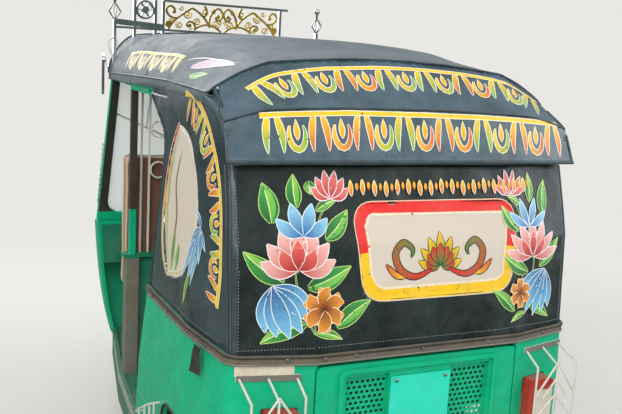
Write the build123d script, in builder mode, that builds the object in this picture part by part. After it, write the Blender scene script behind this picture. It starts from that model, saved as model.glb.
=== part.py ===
"""Auto rickshaw: a three-wheeled passenger vehicle with a pressed steel tub, a cloth hood and a roof crown.

Millimetres. The ground is Z = 0, the vehicle drives towards -Y and its left side is +X. The origin lies
under the middle of its length and width.
"""
import os
from math import atan2, cos, degrees, radians, sin

from build123d import *

os.makedirs("parts", exist_ok=True)

# Running gear
half_length = 1320.0
rear_axle_y = 930.0
wheelbase = 2000.0
front_axle_y = rear_axle_y - wheelbase
rear_track = 1130.0
tyre_diameter = 410.0
tyre_width = 105.0
tread_width = 72.0
shoulder_drop = 14.0
shoulder_half = 47.0
bead_radius = 104.0
bead_half = 38.0
flange_height = 10.0
flange_reach = 6.0
rim_thickness = 5.0
hub_radius = 33.0
hub_outer_x = 34.0
hub_inner_x = -30.0
web_thickness = 7.0
web_face_x = 26.0
web_face_radius = 62.0
web_rim_x = 8.0
drum_radius = 84.0
drum_wall = 6.0
drum_inner_x = -42.0
drum_face_x = -8.0
hand_hole_radius = 9.0
hand_hole_circle = 76.0
hand_hole_count = 6
axle_radius = 10.0
running_gap = 0.05
wheel_radius = tyre_diameter / 2
bore_radius = axle_radius + running_gap

# Steering: the axis is raked and passes a little behind the front axle
rake = 26.0
axle_lead = 26.0
stem_radius = 21.0
head_wall = 7.0
yoke_height = 262.0
yoke_thickness = 20.0
yoke_half = 100.0
yoke_front = -92.0
yoke_back = 34.0
yoke_corner = 16.0
leg_x = 82.0
leg_radius = 13.0
leg_top_y = 8.0
pivot_y = 108.0
pivot_z = -40.0
link_width = 34.0
link_thickness = 12.0
link_rise = 12.0
damper_radius = 15.0
damper_top_y = -68.0
bar_height = 884.0
bar_setback = 34.0
# columns: local x, set-back behind the stem's bar clamp, rise above the stem's top
bar_rows = [
    (285.0, 70.0, 22.0),
    (170.0, 20.0, 36.0),
    (70.0, 0.0, 10.0),
]
bar_bend = 40.0
bar_radius = 11.0
grip_radius = 16.0
grip_length = 115.0
clamp_width = 84.0
clamp_height = 20.0
head_bottom = 292.0
head_top = 745.0
mudguard_radius = 250.0
mudguard_wall = 3.0
mudguard_half = 64.0
mudguard_skirt = 30.0
mudguard_bevel_x = 14.0
mudguard_bevel = 10.0
mudguard_stay_radius = 18.0
mudguard_rear_angle = 15.0
mudguard_front_angle = 180.0

# Tub: one row for each height of the plan outline
wall = 20.0
cut_margin = 50.0
tub_bottom = 300.0
tub_waist = 600.0
belt_z = 887.0
outline_front_y = 250.0
arch_middle_y = 900.0
tail_flat_half = 354.0
tail_corner_radius = 52.0
# columns: z, half width at the door, half width at the wheel, half width at the tail, corner y, tail y
tub_rows = [
    (tub_bottom, 628.0, 636.0, 600.0, 1208.0, 1256.0),
    (tub_waist, 632.0, 640.0, 606.0, 1218.0, 1266.0),
    (belt_z, 618.0, 625.0, 596.0, 1205.0, 1262.0),
]
quarter_front_bottom_y = 311.0
quarter_front_top_y = 422.0
panel_split_x = 535.0
arch_top_z = 575.0
arch_front_y = 640.0
arch_rear_y = 1145.0
arch_taper = 50.0
arch_corner_radius = 95.0
belt_strip_height = 26.0
belt_strip_lap = 6.0
belt_strip_thickness = 6.0

# Engine lid in the tail, pivoted on two side pins
lid_half = 352.0
lid_bottom = 425.0
lid_gap = 5.0
lid_top = 853.0
lid_corner_radius = 18.0
lid_pivot_y = 1251.0
lid_pivot_z = 845.0
lid_swing_gap = 12.0
pin_radius = 5.0
pin_reach = 20.0
pin_end_gap = 2.0
grille_inner_x = 110.0
grille_outer_x = 254.0
grille_bottom = 600.0
grille_top = 812.0
grille_plate = 2.5
grille_lap = 8.0
hole_pitch_x = 18.0
hole_pitch_z = 16.5
hole_width = 11.0
hole_height = 8.5
frame_width = 14.0
frame_rise = 5.0
frame_margin = 12.0
plate_bolt_half = 86.0
plate_bolt_z = 787.0
plate_bolt_radius = 3.0

# Hood: rows of the plan outline for the curtains, and of the cross section for the roof
cloth = 8.0
seam_gap = 0.3
curtain_split_x = 572.0
lip_z = 1420.0
# columns: z, half width at the door, half width at the wheel, half width at the tail, corner y, tail y
curtain_rows = [
    (belt_z, 612.0, 619.0, 590.0, 1198.0, 1254.0),
    (1190.0, 600.0, 609.0, 596.0, 1176.0, 1205.0),
    (lip_z, 586.0, 600.0, 592.0, 1112.0, 1126.0),
    (1640.0, 572.0, 588.0, 588.0, 1090.0, 1100.0),
]
curtain_corner_radius = 30.0
curtain_front_bottom_y = 425.0
# columns: y, z along the curtains' free front edge above the belt
curtain_front = [
    (482.0, 1200.0),
    (502.0, 1385.0),
    (470.0, 1450.0),
    (386.0, 1494.0),
    (300.0, 1530.0),
    (outline_front_y, 1560.0),
]
skirt_depth = 33.0
# columns: y, half width, edge z, shoulder x, shoulder z, crown z, bow of the shoulder
roof_rows = [
    (-762.0, 508.0, 1594.0, 400.0, 1766.0, 1795.0, 26.0),
    (-138.0, 562.0, 1606.0, 440.0, 1768.0, 1797.0, 26.0),
    (470.0, 590.0, 1616.0, 452.0, 1757.0, 1784.0, 24.0),
    (960.0, 606.0, 1604.0, 415.0, 1698.0, 1724.0, 10.0),
]
seam_y = 1100.0
lip_y = 1152.0
band_rows = [
    roof_rows[-1],
    (seam_y, 602.0, 1533.0, 440.0, 1573.0, 1581.0, 4.0),
    (lip_y, 608.0, lip_z + 4.0, 440.0, lip_z + 4.5, lip_z + 5.0, 0.2),
]
band_overlap = 20.0
window_centre_x = -72.0
window_top_half = 291.0
window_bottom_half = 264.0
window_top_z = 1306.0
window_bottom_z = 1031.0
window_radius = 42.0
pane = 3.0
side_window_tip = (644.0, 1483.0)
side_window_foot = (622.0, 985.0)
side_window_rear = (905.0, 1240.0)
side_window_front = (548.0, 1200.0)

# Cabin floor, sills and chassis
floor_z = 330.0
floor_plate = 12.0
floor_front_y = -752.0
floor_front_half = 456.0
post_y = -160.0
post_half = 562.0
bench_front_y = 560.0
sheet_metal = 12.0
sill_width = 18.0
sill_gap = 8.0
sill_top = 345.0
sill_bottom = 218.0
rail_x = 225.0
rail_width = 46.0
rail_height = 80.0
rail_front_y = -700.0
rail_rear_y = 1222.0
cross_half = 345.0
cross_rise = 2.0
cross_height = 36.0
cross_depth = 44.0
cross_ys = (-620.0, -160.0, 540.0, 790.0, 1070.0)

# Front of the body
apron_wall = 16.0
# columns: z, half width, back y, side y, nose y
apron_rows = [
    (318.0, floor_front_half + sill_width, floor_front_y, -800.0, -925.0),
    (480.0, 511.0, floor_front_y, -814.0, -978.0),
    (620.0, 531.0, floor_front_y, -822.0, -1000.0),
    (886.0, 553.0, floor_front_y, -822.0, -944.0),
]
wheelhouse_y = -1020.0
wheelhouse_radius = 262.0
wheelhouse_wall = 8.0
wheelhouse_bottom = 100.0
wheelhouse_top = 535.0
screen_bottom_z = 888.0
screen_bottom_y = -812.0
screen_bottom_half = 548.0
screen_lean = 70.0 / 672.0
screen_frame = 42.0
screen_depth = 34.0
glass = 5.0
glass_top_z = 1618.0
glass_top_half = 462.0
glass_arch = 34.0
glass_radius = 55.0
dash_bottom = 680.0
headlamp_z = 715.0
headlamp_radius = 84.0
headlamp_rim = 12.0
headlamp_rear_y = -900.0
headlamp_front_y = -1045.0
headlamp_bezel = 35.0
lens_depth = 30.0
lens_taper = 8.0
indicator_x = 330.0
indicator_radius = 30.0
indicator_depth = 72.0

# Cabin furniture
b_post_width = 50.0
b_post_rear_y = -126.0
b_post_depth = 55.0
partition_top = 856.0
partition_cap = 14.0
partition_thickness = 20.0
cage_rod = 8.0
cage_bar = 16.0
cage_half = 540.0
rod_xs = (-500, -467, -389, -311, -233, -155, -78, 0, 78, 155, 233, 311, 389, 467, 500)
ring_x = 428.0
ring_zs = (1219.0, 1386.0)
ring_radius = 36.0
ring_wall = 6.0
side_rail_z = 1562.0
bow = 24.0
# columns: y, half width, foot z
bow_rows = [
    (-138.0, 552.0, partition_top + partition_cap),
    (470.0, 566.0, floor_z),
    (930.0, 566.0, 600.0),
]
door_bar = 14.0
door_bar_thickness = 10.0
door_bar_x = 551.5
door_splay = 34.0 / 715.0
door_bend_y = 150.0
door_bar_middle = (330.0, 1508.0)
door_bar_end = (455.0, 1420.0)
driver_box_half = 330.0
driver_box_front = -480.0
driver_box_top = 590.0
driver_cushion_lap = 20.0
driver_back_half = 572.0
driver_back_top = 1290.0
driver_back_thickness = 115.0
cushion_thickness = 95.0
cushion_gap = 6.0
cushion_round = 28.0
bench_top = 600.0
firewall_y = 1085.0
ledge_z = 872.0
bench_cushion_half = 535.0
bench_cushion_lap = 15.0
bench_back_front_y = 986.0
# columns: y, z of the passengers' backrest above the ledge
bench_back_top = [
    (firewall_y - seam_gap, 880.0),
    (1128.0, 1160.0),
    (1040.0, 1172.0),
]

# Engine bay
engine_size = 330.0
engine_height = 285.0
barrel_radius = 55.0
barrel_half = 150.0
muffler_y = 1152.0
muffler_radius = 48.0
muffler_half = 240.0
pipe_x = -150.0
pipe_radius = 16.0
pipe_end = (1205.0, 222.0)
arm_pivot_x = 365.0
arm_pivot_half = 20.0
arm_pivot_radius = 24.0
arm_section = 34.0
carrier_x = 482.0
carrier_inner_x = 460.0
carrier_outer_x = 506.0
carrier_radius = 44.0
plate_radius = 80.0
plate_thickness = 5.0
stub_reach = 6.0
shaft_radius = 13.0
boot_radius = 30.0
boot_length = 45.0
boot_outer_x = 395.0
rear_damper_x = 440.0
rear_damper_y = 850.0
rear_damper_radius = 24.0
rear_damper_foot = 222.0

# Tail and trim
lamp_x = 455.0
lamp_width = 96.0
lamp_bottom = 590.0
lamp_top = 736.0
lamp_face_y = 1288.0
lamp_corner = 10.0
guard_x = 489.0
guard_half = 81.0
guard_rod = 3.5
guard_y = half_length - guard_rod
guard_top_z = 828.0
guard_foot_z = 556.0
guard_bend = 38.0
guard_foot_y = 1200.0
guard_strip_height = 18.0
guard_strip_thickness = 6.0
# columns: z where a pair of branches leaves the middle rod, half spread, drop
branch_rows = [
    (800.0, guard_half, 112.0),
    (745.0, 48.0, 62.0),
    (690.0, guard_half, 82.0),
]
arch_rod = 4.0
arch_rod_x = 655.0
arch_rod_foot_z = 330.0
arch_rod_start_y = 430.0
arch_rod_start_z = 420.0
# columns: y, top z of the upright rods before the rear wheel
arch_rod_rows = [
    (472.0, 451.0),
    (545.0, 488.0),
    (609.0, 515.0),
    (664.0, 545.0),
]
bumper_y = 1290.0
bumper_half = 555.0
bumper_bottom = 256.0
bumper_height = 56.0
bumper_thickness = 24.0
bracket_height = 34.0
bracket_width = 40.0

# Roof crown
crown_y = -667.0
crown_depth = 10.0
crown_rail_z = 1800.0
crown_top_z = 1932.0
crown_foot_z = 1576.0
crown_half = 505.0
crown_post = 12.0
crown_rail = 10.0
crown_overrun = 20.0
post_head_z = 1832.0
panel_left_x = 282.0
panel_right_x = -302.0
plank_rise = 37.0
plank_height = 25.0
rosette_posts = (415.0, 319.0)
rosette_z = 1885.0
rosette_ring = 8.0
finial_half = 30.0
finial_rod = 5.0
finial_middle_z = 1868.0
finial_head_z = 1914.0
finial_neck = 6.0
ball_radius = 14.0
ball_z = 1938.0
scroll_width = 9.0
scroll_depth = 8.0
# columns: start, through and end point of each arc, as distance from the panel's middle and z
scroll_rows = [
    (64.0, 1824.0, 61.0, 1880.0, 28.0, 1915.0),
    (28.0, 1915.0, 4.0, 1896.0, 12.0, 1867.0),
    (12.0, 1867.0, 27.0, 1861.0, 36.0, 1876.0),
    (64.0, 1824.0, 97.0, 1871.0, 155.0, 1909.0),
    (155.0, 1909.0, 198.0, 1878.0, 223.0, 1860.0),
    (223.0, 1860.0, 251.0, 1830.0, 268.0, 1803.0),
    (223.0, 1860.0, 262.0, 1867.0, 277.0, 1893.0),
    (277.0, 1893.0, 256.0, 1911.0, 237.0, 1889.0),
    (9.0, 1806.0, 80.0, 1835.0, 143.0, 1809.0),
    (143.0, 1809.0, 147.0, 1842.0, 172.0, 1843.0),
    (172.0, 1843.0, 177.0, 1830.0, 164.0, 1826.0),
    (97.0, 1871.0, 82.0, 1895.0, 96.0, 1922.0),
]
# columns: distance from the panel's middle, z and radius of each boss
boss_rows = [
    (25.0, 1877.0, 9.0),
    (164.0, 1829.0, 8.0),
    (240.0, 1886.0, 8.0),
    (266.0, 1830.0, 15.0),
]
mirror_foot = (478.0, -745.0, 1546.0)
mirror_head = (522.0, -818.0, 1668.0)
mirror_height = 180.0
mirror_width = 96.0
mirror_thickness = 12.0
mirror_turn = 78.0
mirror_rod = 6.0
mirror_corner = 20.0


def tub_outline(row, inset, corner_radius):
    """Plan outline of the tub or of the curtains at one height, moved inwards by inset."""
    z, door_half, arch_half, tail_half, corner_y, tail_y = row
    with BuildSketch(Plane.XY.offset(z)) as outline:
        with BuildLine():
            Polyline(
                (door_half, outline_front_y),
                (arch_half, arch_middle_y),
                (tail_half, corner_y),
                (tail_flat_half, tail_y),
                (-tail_flat_half, tail_y),
                (-tail_half, corner_y),
                (-arch_half, arch_middle_y),
                (-door_half, outline_front_y),
                close=True,
            )
        make_face()
        fillet(outline.vertices().group_by(Axis.Y)[-2], radius=corner_radius)
        if inset:
            offset(amount=-inset, kind=Kind.INTERSECTION)
    return outline.sketch.face()


def arch_section(row, base_z, inset, base_half=None):
    """Cross section of the hood, moved inwards by inset: two edges and a top with round shoulders.

    The edges are upright, or run down to base_half where it is given.
    """
    y, half_width, edge_z, shoulder_x, shoulder_z, crown_z, bow_out = row
    half_width -= inset
    edge_z -= inset / 2
    shoulder_x -= 0.7 * inset
    shoulder_z -= 0.7 * inset
    run = half_width - shoulder_x
    rise = shoulder_z - edge_z
    chord = (run**2 + rise**2) ** 0.5
    foot = base_half or half_width
    bow_x = (half_width + shoulder_x) / 2 + bow_out * rise / chord
    bow_z = (edge_z + shoulder_z) / 2 + bow_out * run / chord
    with BuildSketch(Plane.XZ.offset(-y)) as section:
        with BuildLine():
            Polyline((-half_width, edge_z), (-foot, base_z), (foot, base_z), (half_width, edge_z))
            ThreePointArc((half_width, edge_z), (bow_x, bow_z), (shoulder_x, shoulder_z))
            ThreePointArc((shoulder_x, shoulder_z), (0, crown_z - inset), (-shoulder_x, shoulder_z))
            ThreePointArc((-shoulder_x, shoulder_z), (-bow_x, bow_z), (-half_width, edge_z))
        make_face()
    return section.sketch.face()


def roof_row_at(y):
    """Values of a roof row at y, between the two rows on either side of it."""
    low, high = next(pair for pair in zip(roof_rows, roof_rows[1:]) if y <= pair[1][0])
    share = (y - low[0]) / (high[0] - low[0])
    return tuple(a + (b - a) * share for a, b in zip(low, high))


def tub_half(y):
    """Half width of the tub's outline at its lower edge, at y in front of the wheel."""
    share = (y - outline_front_y) / (arch_middle_y - outline_front_y)
    return tub_rows[0][1] + (tub_rows[0][2] - tub_rows[0][1]) * share


def save(builder, name):
    """Label one finished piece and write its file."""
    builder.part.label = name
    export_step(builder.part, f"parts/{name}.step")


# Wheels: a tyre of straight-sided profile on a pressed disc rim with its brake drum
wheel_places = [
    ("front", 0.0, front_axle_y, 1),
    ("rear_left", rear_track / 2, rear_axle_y, 1),
    ("rear_right", -rear_track / 2, rear_axle_y, -1),
]
bulge_radius = (bead_radius + wheel_radius) / 2
flange_x = bead_half + flange_height * (tyre_width / 2 - bead_half) / (bulge_radius - bead_radius)
barrel_inner = bead_radius - rim_thickness
for wheel_name, wheel_x, wheel_y, side in wheel_places:
    hub_plane = Plane((wheel_x, wheel_y, wheel_radius), x_dir=(side, 0, 0), z_dir=(0, -side, 0))
    hub_axis = Axis((wheel_x, wheel_y, wheel_radius), (side, 0, 0))
    with BuildPart() as tyre:
        with BuildSketch(hub_plane):
            with BuildLine():
                Polyline(
                    (-bead_half, bead_radius),
                    (-tyre_width / 2, bulge_radius),
                    (-shoulder_half, wheel_radius - shoulder_drop),
                    (-tread_width / 2, wheel_radius),
                    (tread_width / 2, wheel_radius),
                    (shoulder_half, wheel_radius - shoulder_drop),
                    (tyre_width / 2, bulge_radius),
                    (bead_half, bead_radius),
                    close=True,
                )
            make_face()
        revolve(axis=hub_axis)
    save(tyre, f"{wheel_name}_tyre")

    with BuildPart() as rim:
        with BuildSketch(hub_plane):
            with BuildLine():
                Polyline(
                    (-bead_half, bead_radius),
                    (bead_half, bead_radius),
                    (flange_x, bead_radius + flange_height),
                    (flange_x + flange_reach, bead_radius + flange_height),
                    (bead_half + flange_reach, barrel_inner),
                    (-bead_half - flange_reach, barrel_inner),
                    (-flange_x - flange_reach, bead_radius + flange_height),
                    (-flange_x, bead_radius + flange_height),
                    close=True,
                )
            make_face()
            with BuildLine():
                Polyline(
                    (web_rim_x, barrel_inner),
                    (web_rim_x + web_thickness, barrel_inner),
                    (web_face_x, web_face_radius),
                    (web_face_x, hub_radius),
                    (web_face_x - web_thickness, hub_radius),
                    (web_face_x - web_thickness, web_face_radius - web_thickness),
                    close=True,
                )
            make_face()
            with BuildLine():
                Polyline(
                    (hub_inner_x, bore_radius),
                    (hub_outer_x, bore_radius),
                    (hub_outer_x, hub_radius),
                    (drum_face_x, hub_radius),
                    (drum_face_x, drum_radius),
                    (drum_inner_x, drum_radius),
                    (drum_inner_x, drum_radius - drum_wall),
                    (drum_face_x - drum_wall, drum_radius - drum_wall),
                    (drum_face_x - drum_wall, hub_radius),
                    (hub_inner_x, hub_radius),
                    close=True,
                )
            make_face()
        revolve(axis=hub_axis)
        with BuildSketch(Plane((wheel_x, wheel_y, wheel_radius), x_dir=(0, 1, 0), z_dir=(side, 0, 0))):
            with PolarLocations(hand_hole_circle, hand_hole_count):
                RegularPolygon(hand_hole_radius, 8)
        extrude(amount=bead_half, mode=Mode.SUBTRACT)
    save(rim, f"{wheel_name}_rim")

# Steering frame: local Z runs up the raked axis, local X stays level
steer_origin = (0.0, front_axle_y + axle_lead, wheel_radius)
steer = Plane(steer_origin, x_dir=(1, 0, 0), z_dir=(0, sin(radians(rake)), cos(radians(rake))))
axle_local_y = -axle_lead * cos(radians(rake))
axle_local_z = -axle_lead * sin(radians(rake))

with BuildPart() as front_fork:
    with BuildSketch(steer.offset(yoke_height)):
        with Locations((0, (yoke_front + yoke_back) / 2)):
            RectangleRounded(2 * yoke_half, yoke_back - yoke_front, yoke_corner)
    extrude(amount=yoke_thickness)
    with BuildSketch(steer.offset(yoke_height)):
        Circle(stem_radius)
    extrude(amount=bar_height - yoke_height)
    for leg_side in (-1, 1):
        with BuildLine() as leg_path:
            Line(
                steer.from_local_coords((leg_side * leg_x, leg_top_y, yoke_height + yoke_thickness / 2)),
                steer.from_local_coords((leg_side * leg_x, pivot_y, pivot_z)),
            )
        with BuildSketch(leg_path.line ^ 0):
            Circle(leg_radius)
        sweep()
        link_inner = leg_side * (leg_x - link_thickness / 2)
        link_origin = steer.from_local_coords((link_inner, 0, 0))
        with BuildSketch(Plane(link_origin, x_dir=steer.y_dir, z_dir=(leg_side, 0, 0))):
            with Locations(
                ((pivot_y + axle_local_y) / 2, leg_side * (pivot_z + axle_local_z) / 2),
            ):
                SlotCenterToCenter(
                    ((pivot_y - axle_local_y) ** 2 + (pivot_z - axle_local_z) ** 2) ** 0.5,
                    link_width,
                    rotation=leg_side * degrees(atan2(pivot_z - axle_local_z, pivot_y - axle_local_y)),
                )
        extrude(amount=link_thickness)
    with BuildSketch(Plane((leg_x, front_axle_y, wheel_radius), x_dir=(0, 1, 0), z_dir=(1, 0, 0))):
        Circle(axle_radius)
    extrude(amount=-2 * leg_x)
save(front_fork, "front_fork")

with BuildPart() as front_dampers:
    for leg_side in (-1, 1):
        with BuildLine() as damper_path:
            Line(
                steer.from_local_coords((leg_side * leg_x, axle_local_y - link_rise, link_width / 2 + link_rise)),
                steer.from_local_coords((leg_side * leg_x, damper_top_y, yoke_height)),
            )
        with BuildSketch(damper_path.line ^ 0):
            Circle(damper_radius)
        sweep()
    add(front_fork.part, mode=Mode.SUBTRACT)
save(front_dampers, "front_dampers")

with BuildPart() as handlebar:
    with BuildLine() as bar_path:
        right_half = [(-x, bar_setback + back, bar_height + rise) for x, back, rise in bar_rows]
        left_half = [(-x, y, z) for x, y, z in right_half[::-1]]
        FilletPolyline(*[steer.from_local_coords(point) for point in right_half + left_half], radius=bar_bend)
    with BuildSketch(bar_path.line ^ 0):
        Circle(bar_radius)
    sweep()
    for bar_end in (0, 1):
        with BuildSketch(bar_path.line ^ bar_end):
            Circle(grip_radius)
        extrude(amount=grip_length * (1 - 2 * bar_end))
    with BuildSketch(steer.offset(bar_height)):
        with Locations((0, bar_setback / 2)):
            RectangleRounded(clamp_width, bar_setback + 2 * stem_radius, bar_radius)
    extrude(amount=clamp_height)
save(handlebar, "handlebar")

with BuildPart() as front_mudguard:
    with BuildSketch(Plane((0, front_axle_y, wheel_radius), x_dir=(1, 0, 0), z_dir=(0, 0, -1))):
        with BuildLine():
            Polyline(
                (-mudguard_half, mudguard_radius - mudguard_skirt),
                (-mudguard_half, mudguard_radius - mudguard_bevel),
                (-mudguard_half + mudguard_bevel_x, mudguard_radius),
                (mudguard_half - mudguard_bevel_x, mudguard_radius),
                (mudguard_half, mudguard_radius - mudguard_bevel),
                (mudguard_half, mudguard_radius - mudguard_skirt),
                (mudguard_half - mudguard_wall, mudguard_radius - mudguard_skirt),
                (mudguard_half - mudguard_wall, mudguard_radius - mudguard_bevel - mudguard_wall / 2),
                (mudguard_half - mudguard_bevel_x - mudguard_wall / 2, mudguard_radius - mudguard_wall),
                (-mudguard_half + mudguard_bevel_x + mudguard_wall / 2, mudguard_radius - mudguard_wall),
                (-mudguard_half + mudguard_wall, mudguard_radius - mudguard_bevel - mudguard_wall / 2),
                (-mudguard_half + mudguard_wall, mudguard_radius - mudguard_skirt),
                close=True,
            )
        make_face()
    revolve(
        axis=Axis((0, front_axle_y, wheel_radius), (-1, 0, 0)),
        revolution_arc=mudguard_front_angle - mudguard_rear_angle,
    )
    with BuildSketch(steer.offset(yoke_height)):
        with Locations((0, axle_local_y)):
            Circle(mudguard_stay_radius)
    extrude(amount=-(yoke_height - axle_local_z - mudguard_radius + mudguard_wall / 2))
save(front_mudguard, "front_mudguard")

# Tub: the outer form, its wall, and the panels it is split into
tub_outer = [tub_outline(row, 0, tail_corner_radius) for row in tub_rows]
tub_inner = [tub_outline(row, wall, tail_corner_radius) for row in tub_rows]
with BuildPart() as tub_form:
    loft(sections=tub_outer, ruled=True)
with BuildPart() as tub_core:
    loft(sections=tub_inner, ruled=True)
with BuildPart() as tub_wall:
    add(tub_form.part)
    add(tub_core.part, mode=Mode.SUBTRACT)
    with BuildSketch(Plane.YZ):
        with BuildLine():
            Polyline(
                (0, tub_bottom - cut_margin),
                (quarter_front_bottom_y, tub_bottom - cut_margin),
                (quarter_front_bottom_y, tub_bottom),
                (quarter_front_top_y, belt_z),
                (quarter_front_top_y, belt_z + cut_margin),
                (0, belt_z + cut_margin),
                close=True,
            )
        make_face()
    extrude(amount=half_length, both=True, mode=Mode.SUBTRACT)

with BuildPart() as quarter_panel_left:
    add(tub_wall.part)
    split(bisect_by=Plane.YZ.offset(panel_split_x), keep=Keep.TOP)
    with BuildSketch(Plane.YZ) as arch_cut:
        with BuildLine():
            Polyline(
                (arch_front_y, tub_bottom - cut_margin),
                (arch_front_y + arch_taper, arch_top_z),
                (arch_rear_y - arch_taper, arch_top_z),
                (arch_rear_y, tub_bottom - cut_margin),
                close=True,
            )
        make_face()
        fillet(arch_cut.vertices().group_by(Axis.Y)[1:3], radius=arch_corner_radius)
    extrude(amount=half_length, mode=Mode.SUBTRACT)
save(quarter_panel_left, "quarter_panel_left")

with BuildPart() as quarter_panel_right:
    add(mirror(quarter_panel_left.part, about=Plane.YZ))
save(quarter_panel_right, "quarter_panel_right")

lid_height = lid_top - lid_bottom
lid_middle_z = (lid_top + lid_bottom) / 2
with BuildPart() as rear_panel:
    add(tub_wall.part)
    split(bisect_by=Plane.YZ.offset(panel_split_x), keep=Keep.BOTTOM)
    split(bisect_by=Plane.YZ.offset(-panel_split_x), keep=Keep.TOP)
    with BuildSketch(Plane.XZ.offset(-arch_middle_y)):
        with Locations((0, lid_middle_z + (lid_swing_gap - lid_gap) / 2)):
            RectangleRounded(
                2 * (lid_half + lid_gap), lid_height + lid_gap + lid_swing_gap, lid_corner_radius + lid_gap
            )
    extrude(amount=-half_length, mode=Mode.SUBTRACT)
    with BuildSketch(Plane((0, lid_pivot_y, lid_pivot_z), x_dir=(0, 1, 0), z_dir=(1, 0, 0))):
        Circle(pin_radius + running_gap)
    extrude(amount=lid_half + pin_reach, both=True, mode=Mode.SUBTRACT)
save(rear_panel, "rear_panel")

field_width = grille_outer_x - grille_inner_x
field_height = grille_top - grille_bottom
field_x = (grille_outer_x + grille_inner_x) / 2
field_z = (grille_top + grille_bottom) / 2
lid_face_y = tub_rows[1][5]
with BuildPart() as engine_lid:
    add(tub_form.part)
    add(tub_core.part, mode=Mode.SUBTRACT)
    with BuildSketch(Plane.XZ.offset(-arch_middle_y)):
        with Locations((0, lid_middle_z)):
            RectangleRounded(2 * lid_half, lid_height, lid_corner_radius)
    extrude(amount=-half_length, mode=Mode.INTERSECT)
    with BuildSketch(Plane.XZ.offset(-(lid_face_y - wall / 2))) as raised_frame:
        with Locations((0, field_z)):
            RectangleRounded(
                2 * (grille_outer_x + frame_margin + frame_width),
                field_height + 2 * (frame_margin + frame_width),
                frame_margin + frame_width,
            )
        offset(amount=-frame_width, mode=Mode.SUBTRACT)
    extrude(amount=-(wall / 2 + frame_rise))
    with BuildSketch(Plane.XZ.offset(-arch_middle_y)):
        with Locations((field_x, field_z), (-field_x, field_z)):
            Rectangle(field_width, field_height)
        with Locations((plate_bolt_half, plate_bolt_z), (-plate_bolt_half, plate_bolt_z)):
            Circle(plate_bolt_radius)
    extrude(amount=-half_length, mode=Mode.SUBTRACT)
    with BuildSketch(Plane((0, lid_pivot_y, lid_pivot_z), x_dir=(0, 1, 0), z_dir=(1, 0, 0))):
        Circle(pin_radius)
    extrude(amount=lid_half + pin_reach - pin_end_gap, both=True)
save(engine_lid, "engine_lid")

grille_plane_y = tub_rows[1][5] - wall
hole_columns = int(field_width // hole_pitch_x)
hole_rows = int(field_height // (2 * hole_pitch_z))
with BuildPart() as lid_grilles:
    with BuildSketch(Plane.XZ.offset(-grille_plane_y)):
        with Locations((field_x, field_z), (-field_x, field_z)):
            Rectangle(field_width + 2 * grille_lap, field_height + 2 * grille_lap)
            with GridLocations(hole_pitch_x, 2 * hole_pitch_z, hole_columns, hole_rows):
                Rectangle(hole_width, hole_height, mode=Mode.SUBTRACT)
        with Locations((field_x, field_z - hole_pitch_z), (-field_x, field_z - hole_pitch_z)):
            with GridLocations(hole_pitch_x, 2 * hole_pitch_z, hole_columns - 1, hole_rows):
                Rectangle(hole_width, hole_height, mode=Mode.SUBTRACT)
    extrude(amount=grille_plate)
    add(engine_lid.part, mode=Mode.SUBTRACT)
save(lid_grilles, "lid_grilles")

# Belt strip: a thin trim band round the joint of tub and hood
with BuildPart() as belt_strip:
    with BuildSketch(Plane.XY.offset(belt_z - belt_strip_height + belt_strip_lap)):
        add(tub_outline(tub_rows[2], -belt_strip_thickness, tail_corner_radius).moved(Location((0, 0, -belt_z))))
    extrude(amount=belt_strip_height)
    add(tub_form.part, mode=Mode.SUBTRACT)
    with BuildSketch(Plane.XY.offset(belt_z)):
        add(tub_outline(tub_rows[2], 0, tail_corner_radius).moved(Location((0, 0, -belt_z))))
    extrude(amount=belt_strip_height, mode=Mode.SUBTRACT)
    split(bisect_by=Plane.XZ.offset(-quarter_front_top_y), keep=Keep.BOTTOM)
save(belt_strip, "belt_strip")

# Hood: roof shell, two rear bands and the curtains below them
with BuildPart() as roof_form:
    loft(sections=[arch_section(row, row[2] - skirt_depth, 0) for row in roof_rows], ruled=True)
with BuildPart() as canopy_roof:
    add(roof_form.part)
    loft(
        sections=[arch_section(row, row[2] - 2 * skirt_depth, cloth) for row in roof_rows],
        ruled=True,
        mode=Mode.SUBTRACT,
    )
save(canopy_roof, "canopy_roof")

# The inside of the bands is the outside moved forward and down, and wide enough to leave no side wall
band_cores = []
for drop, shift in ((cloth / 2, cloth), (cloth / 2 + 1, cloth + seam_gap)):
    core_rows = [
        (y - shift, half + band_overlap, edge - drop, side_x, top - drop, crown - drop, bow_out)
        for y, half, edge, side_x, top, crown, bow_out in band_rows
    ]
    band_cores.append([arch_section(row, floor_z, 0) for row in core_rows])
with BuildPart() as band_shell:
    loft(sections=[arch_section(row, lip_z, 0) for row in band_rows], ruled=True)
    loft(sections=band_cores[0], ruled=True, mode=Mode.SUBTRACT)
with BuildPart() as canopy_crown_band:
    add(band_shell.part)
    split(bisect_by=Plane.XZ.offset(-seam_y), keep=Keep.TOP)
save(canopy_crown_band, "canopy_crown_band")
with BuildPart() as canopy_valance:
    add(band_shell.part)
    split(bisect_by=Plane.XZ.offset(-seam_y), keep=Keep.BOTTOM)
save(canopy_valance, "canopy_valance")

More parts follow.
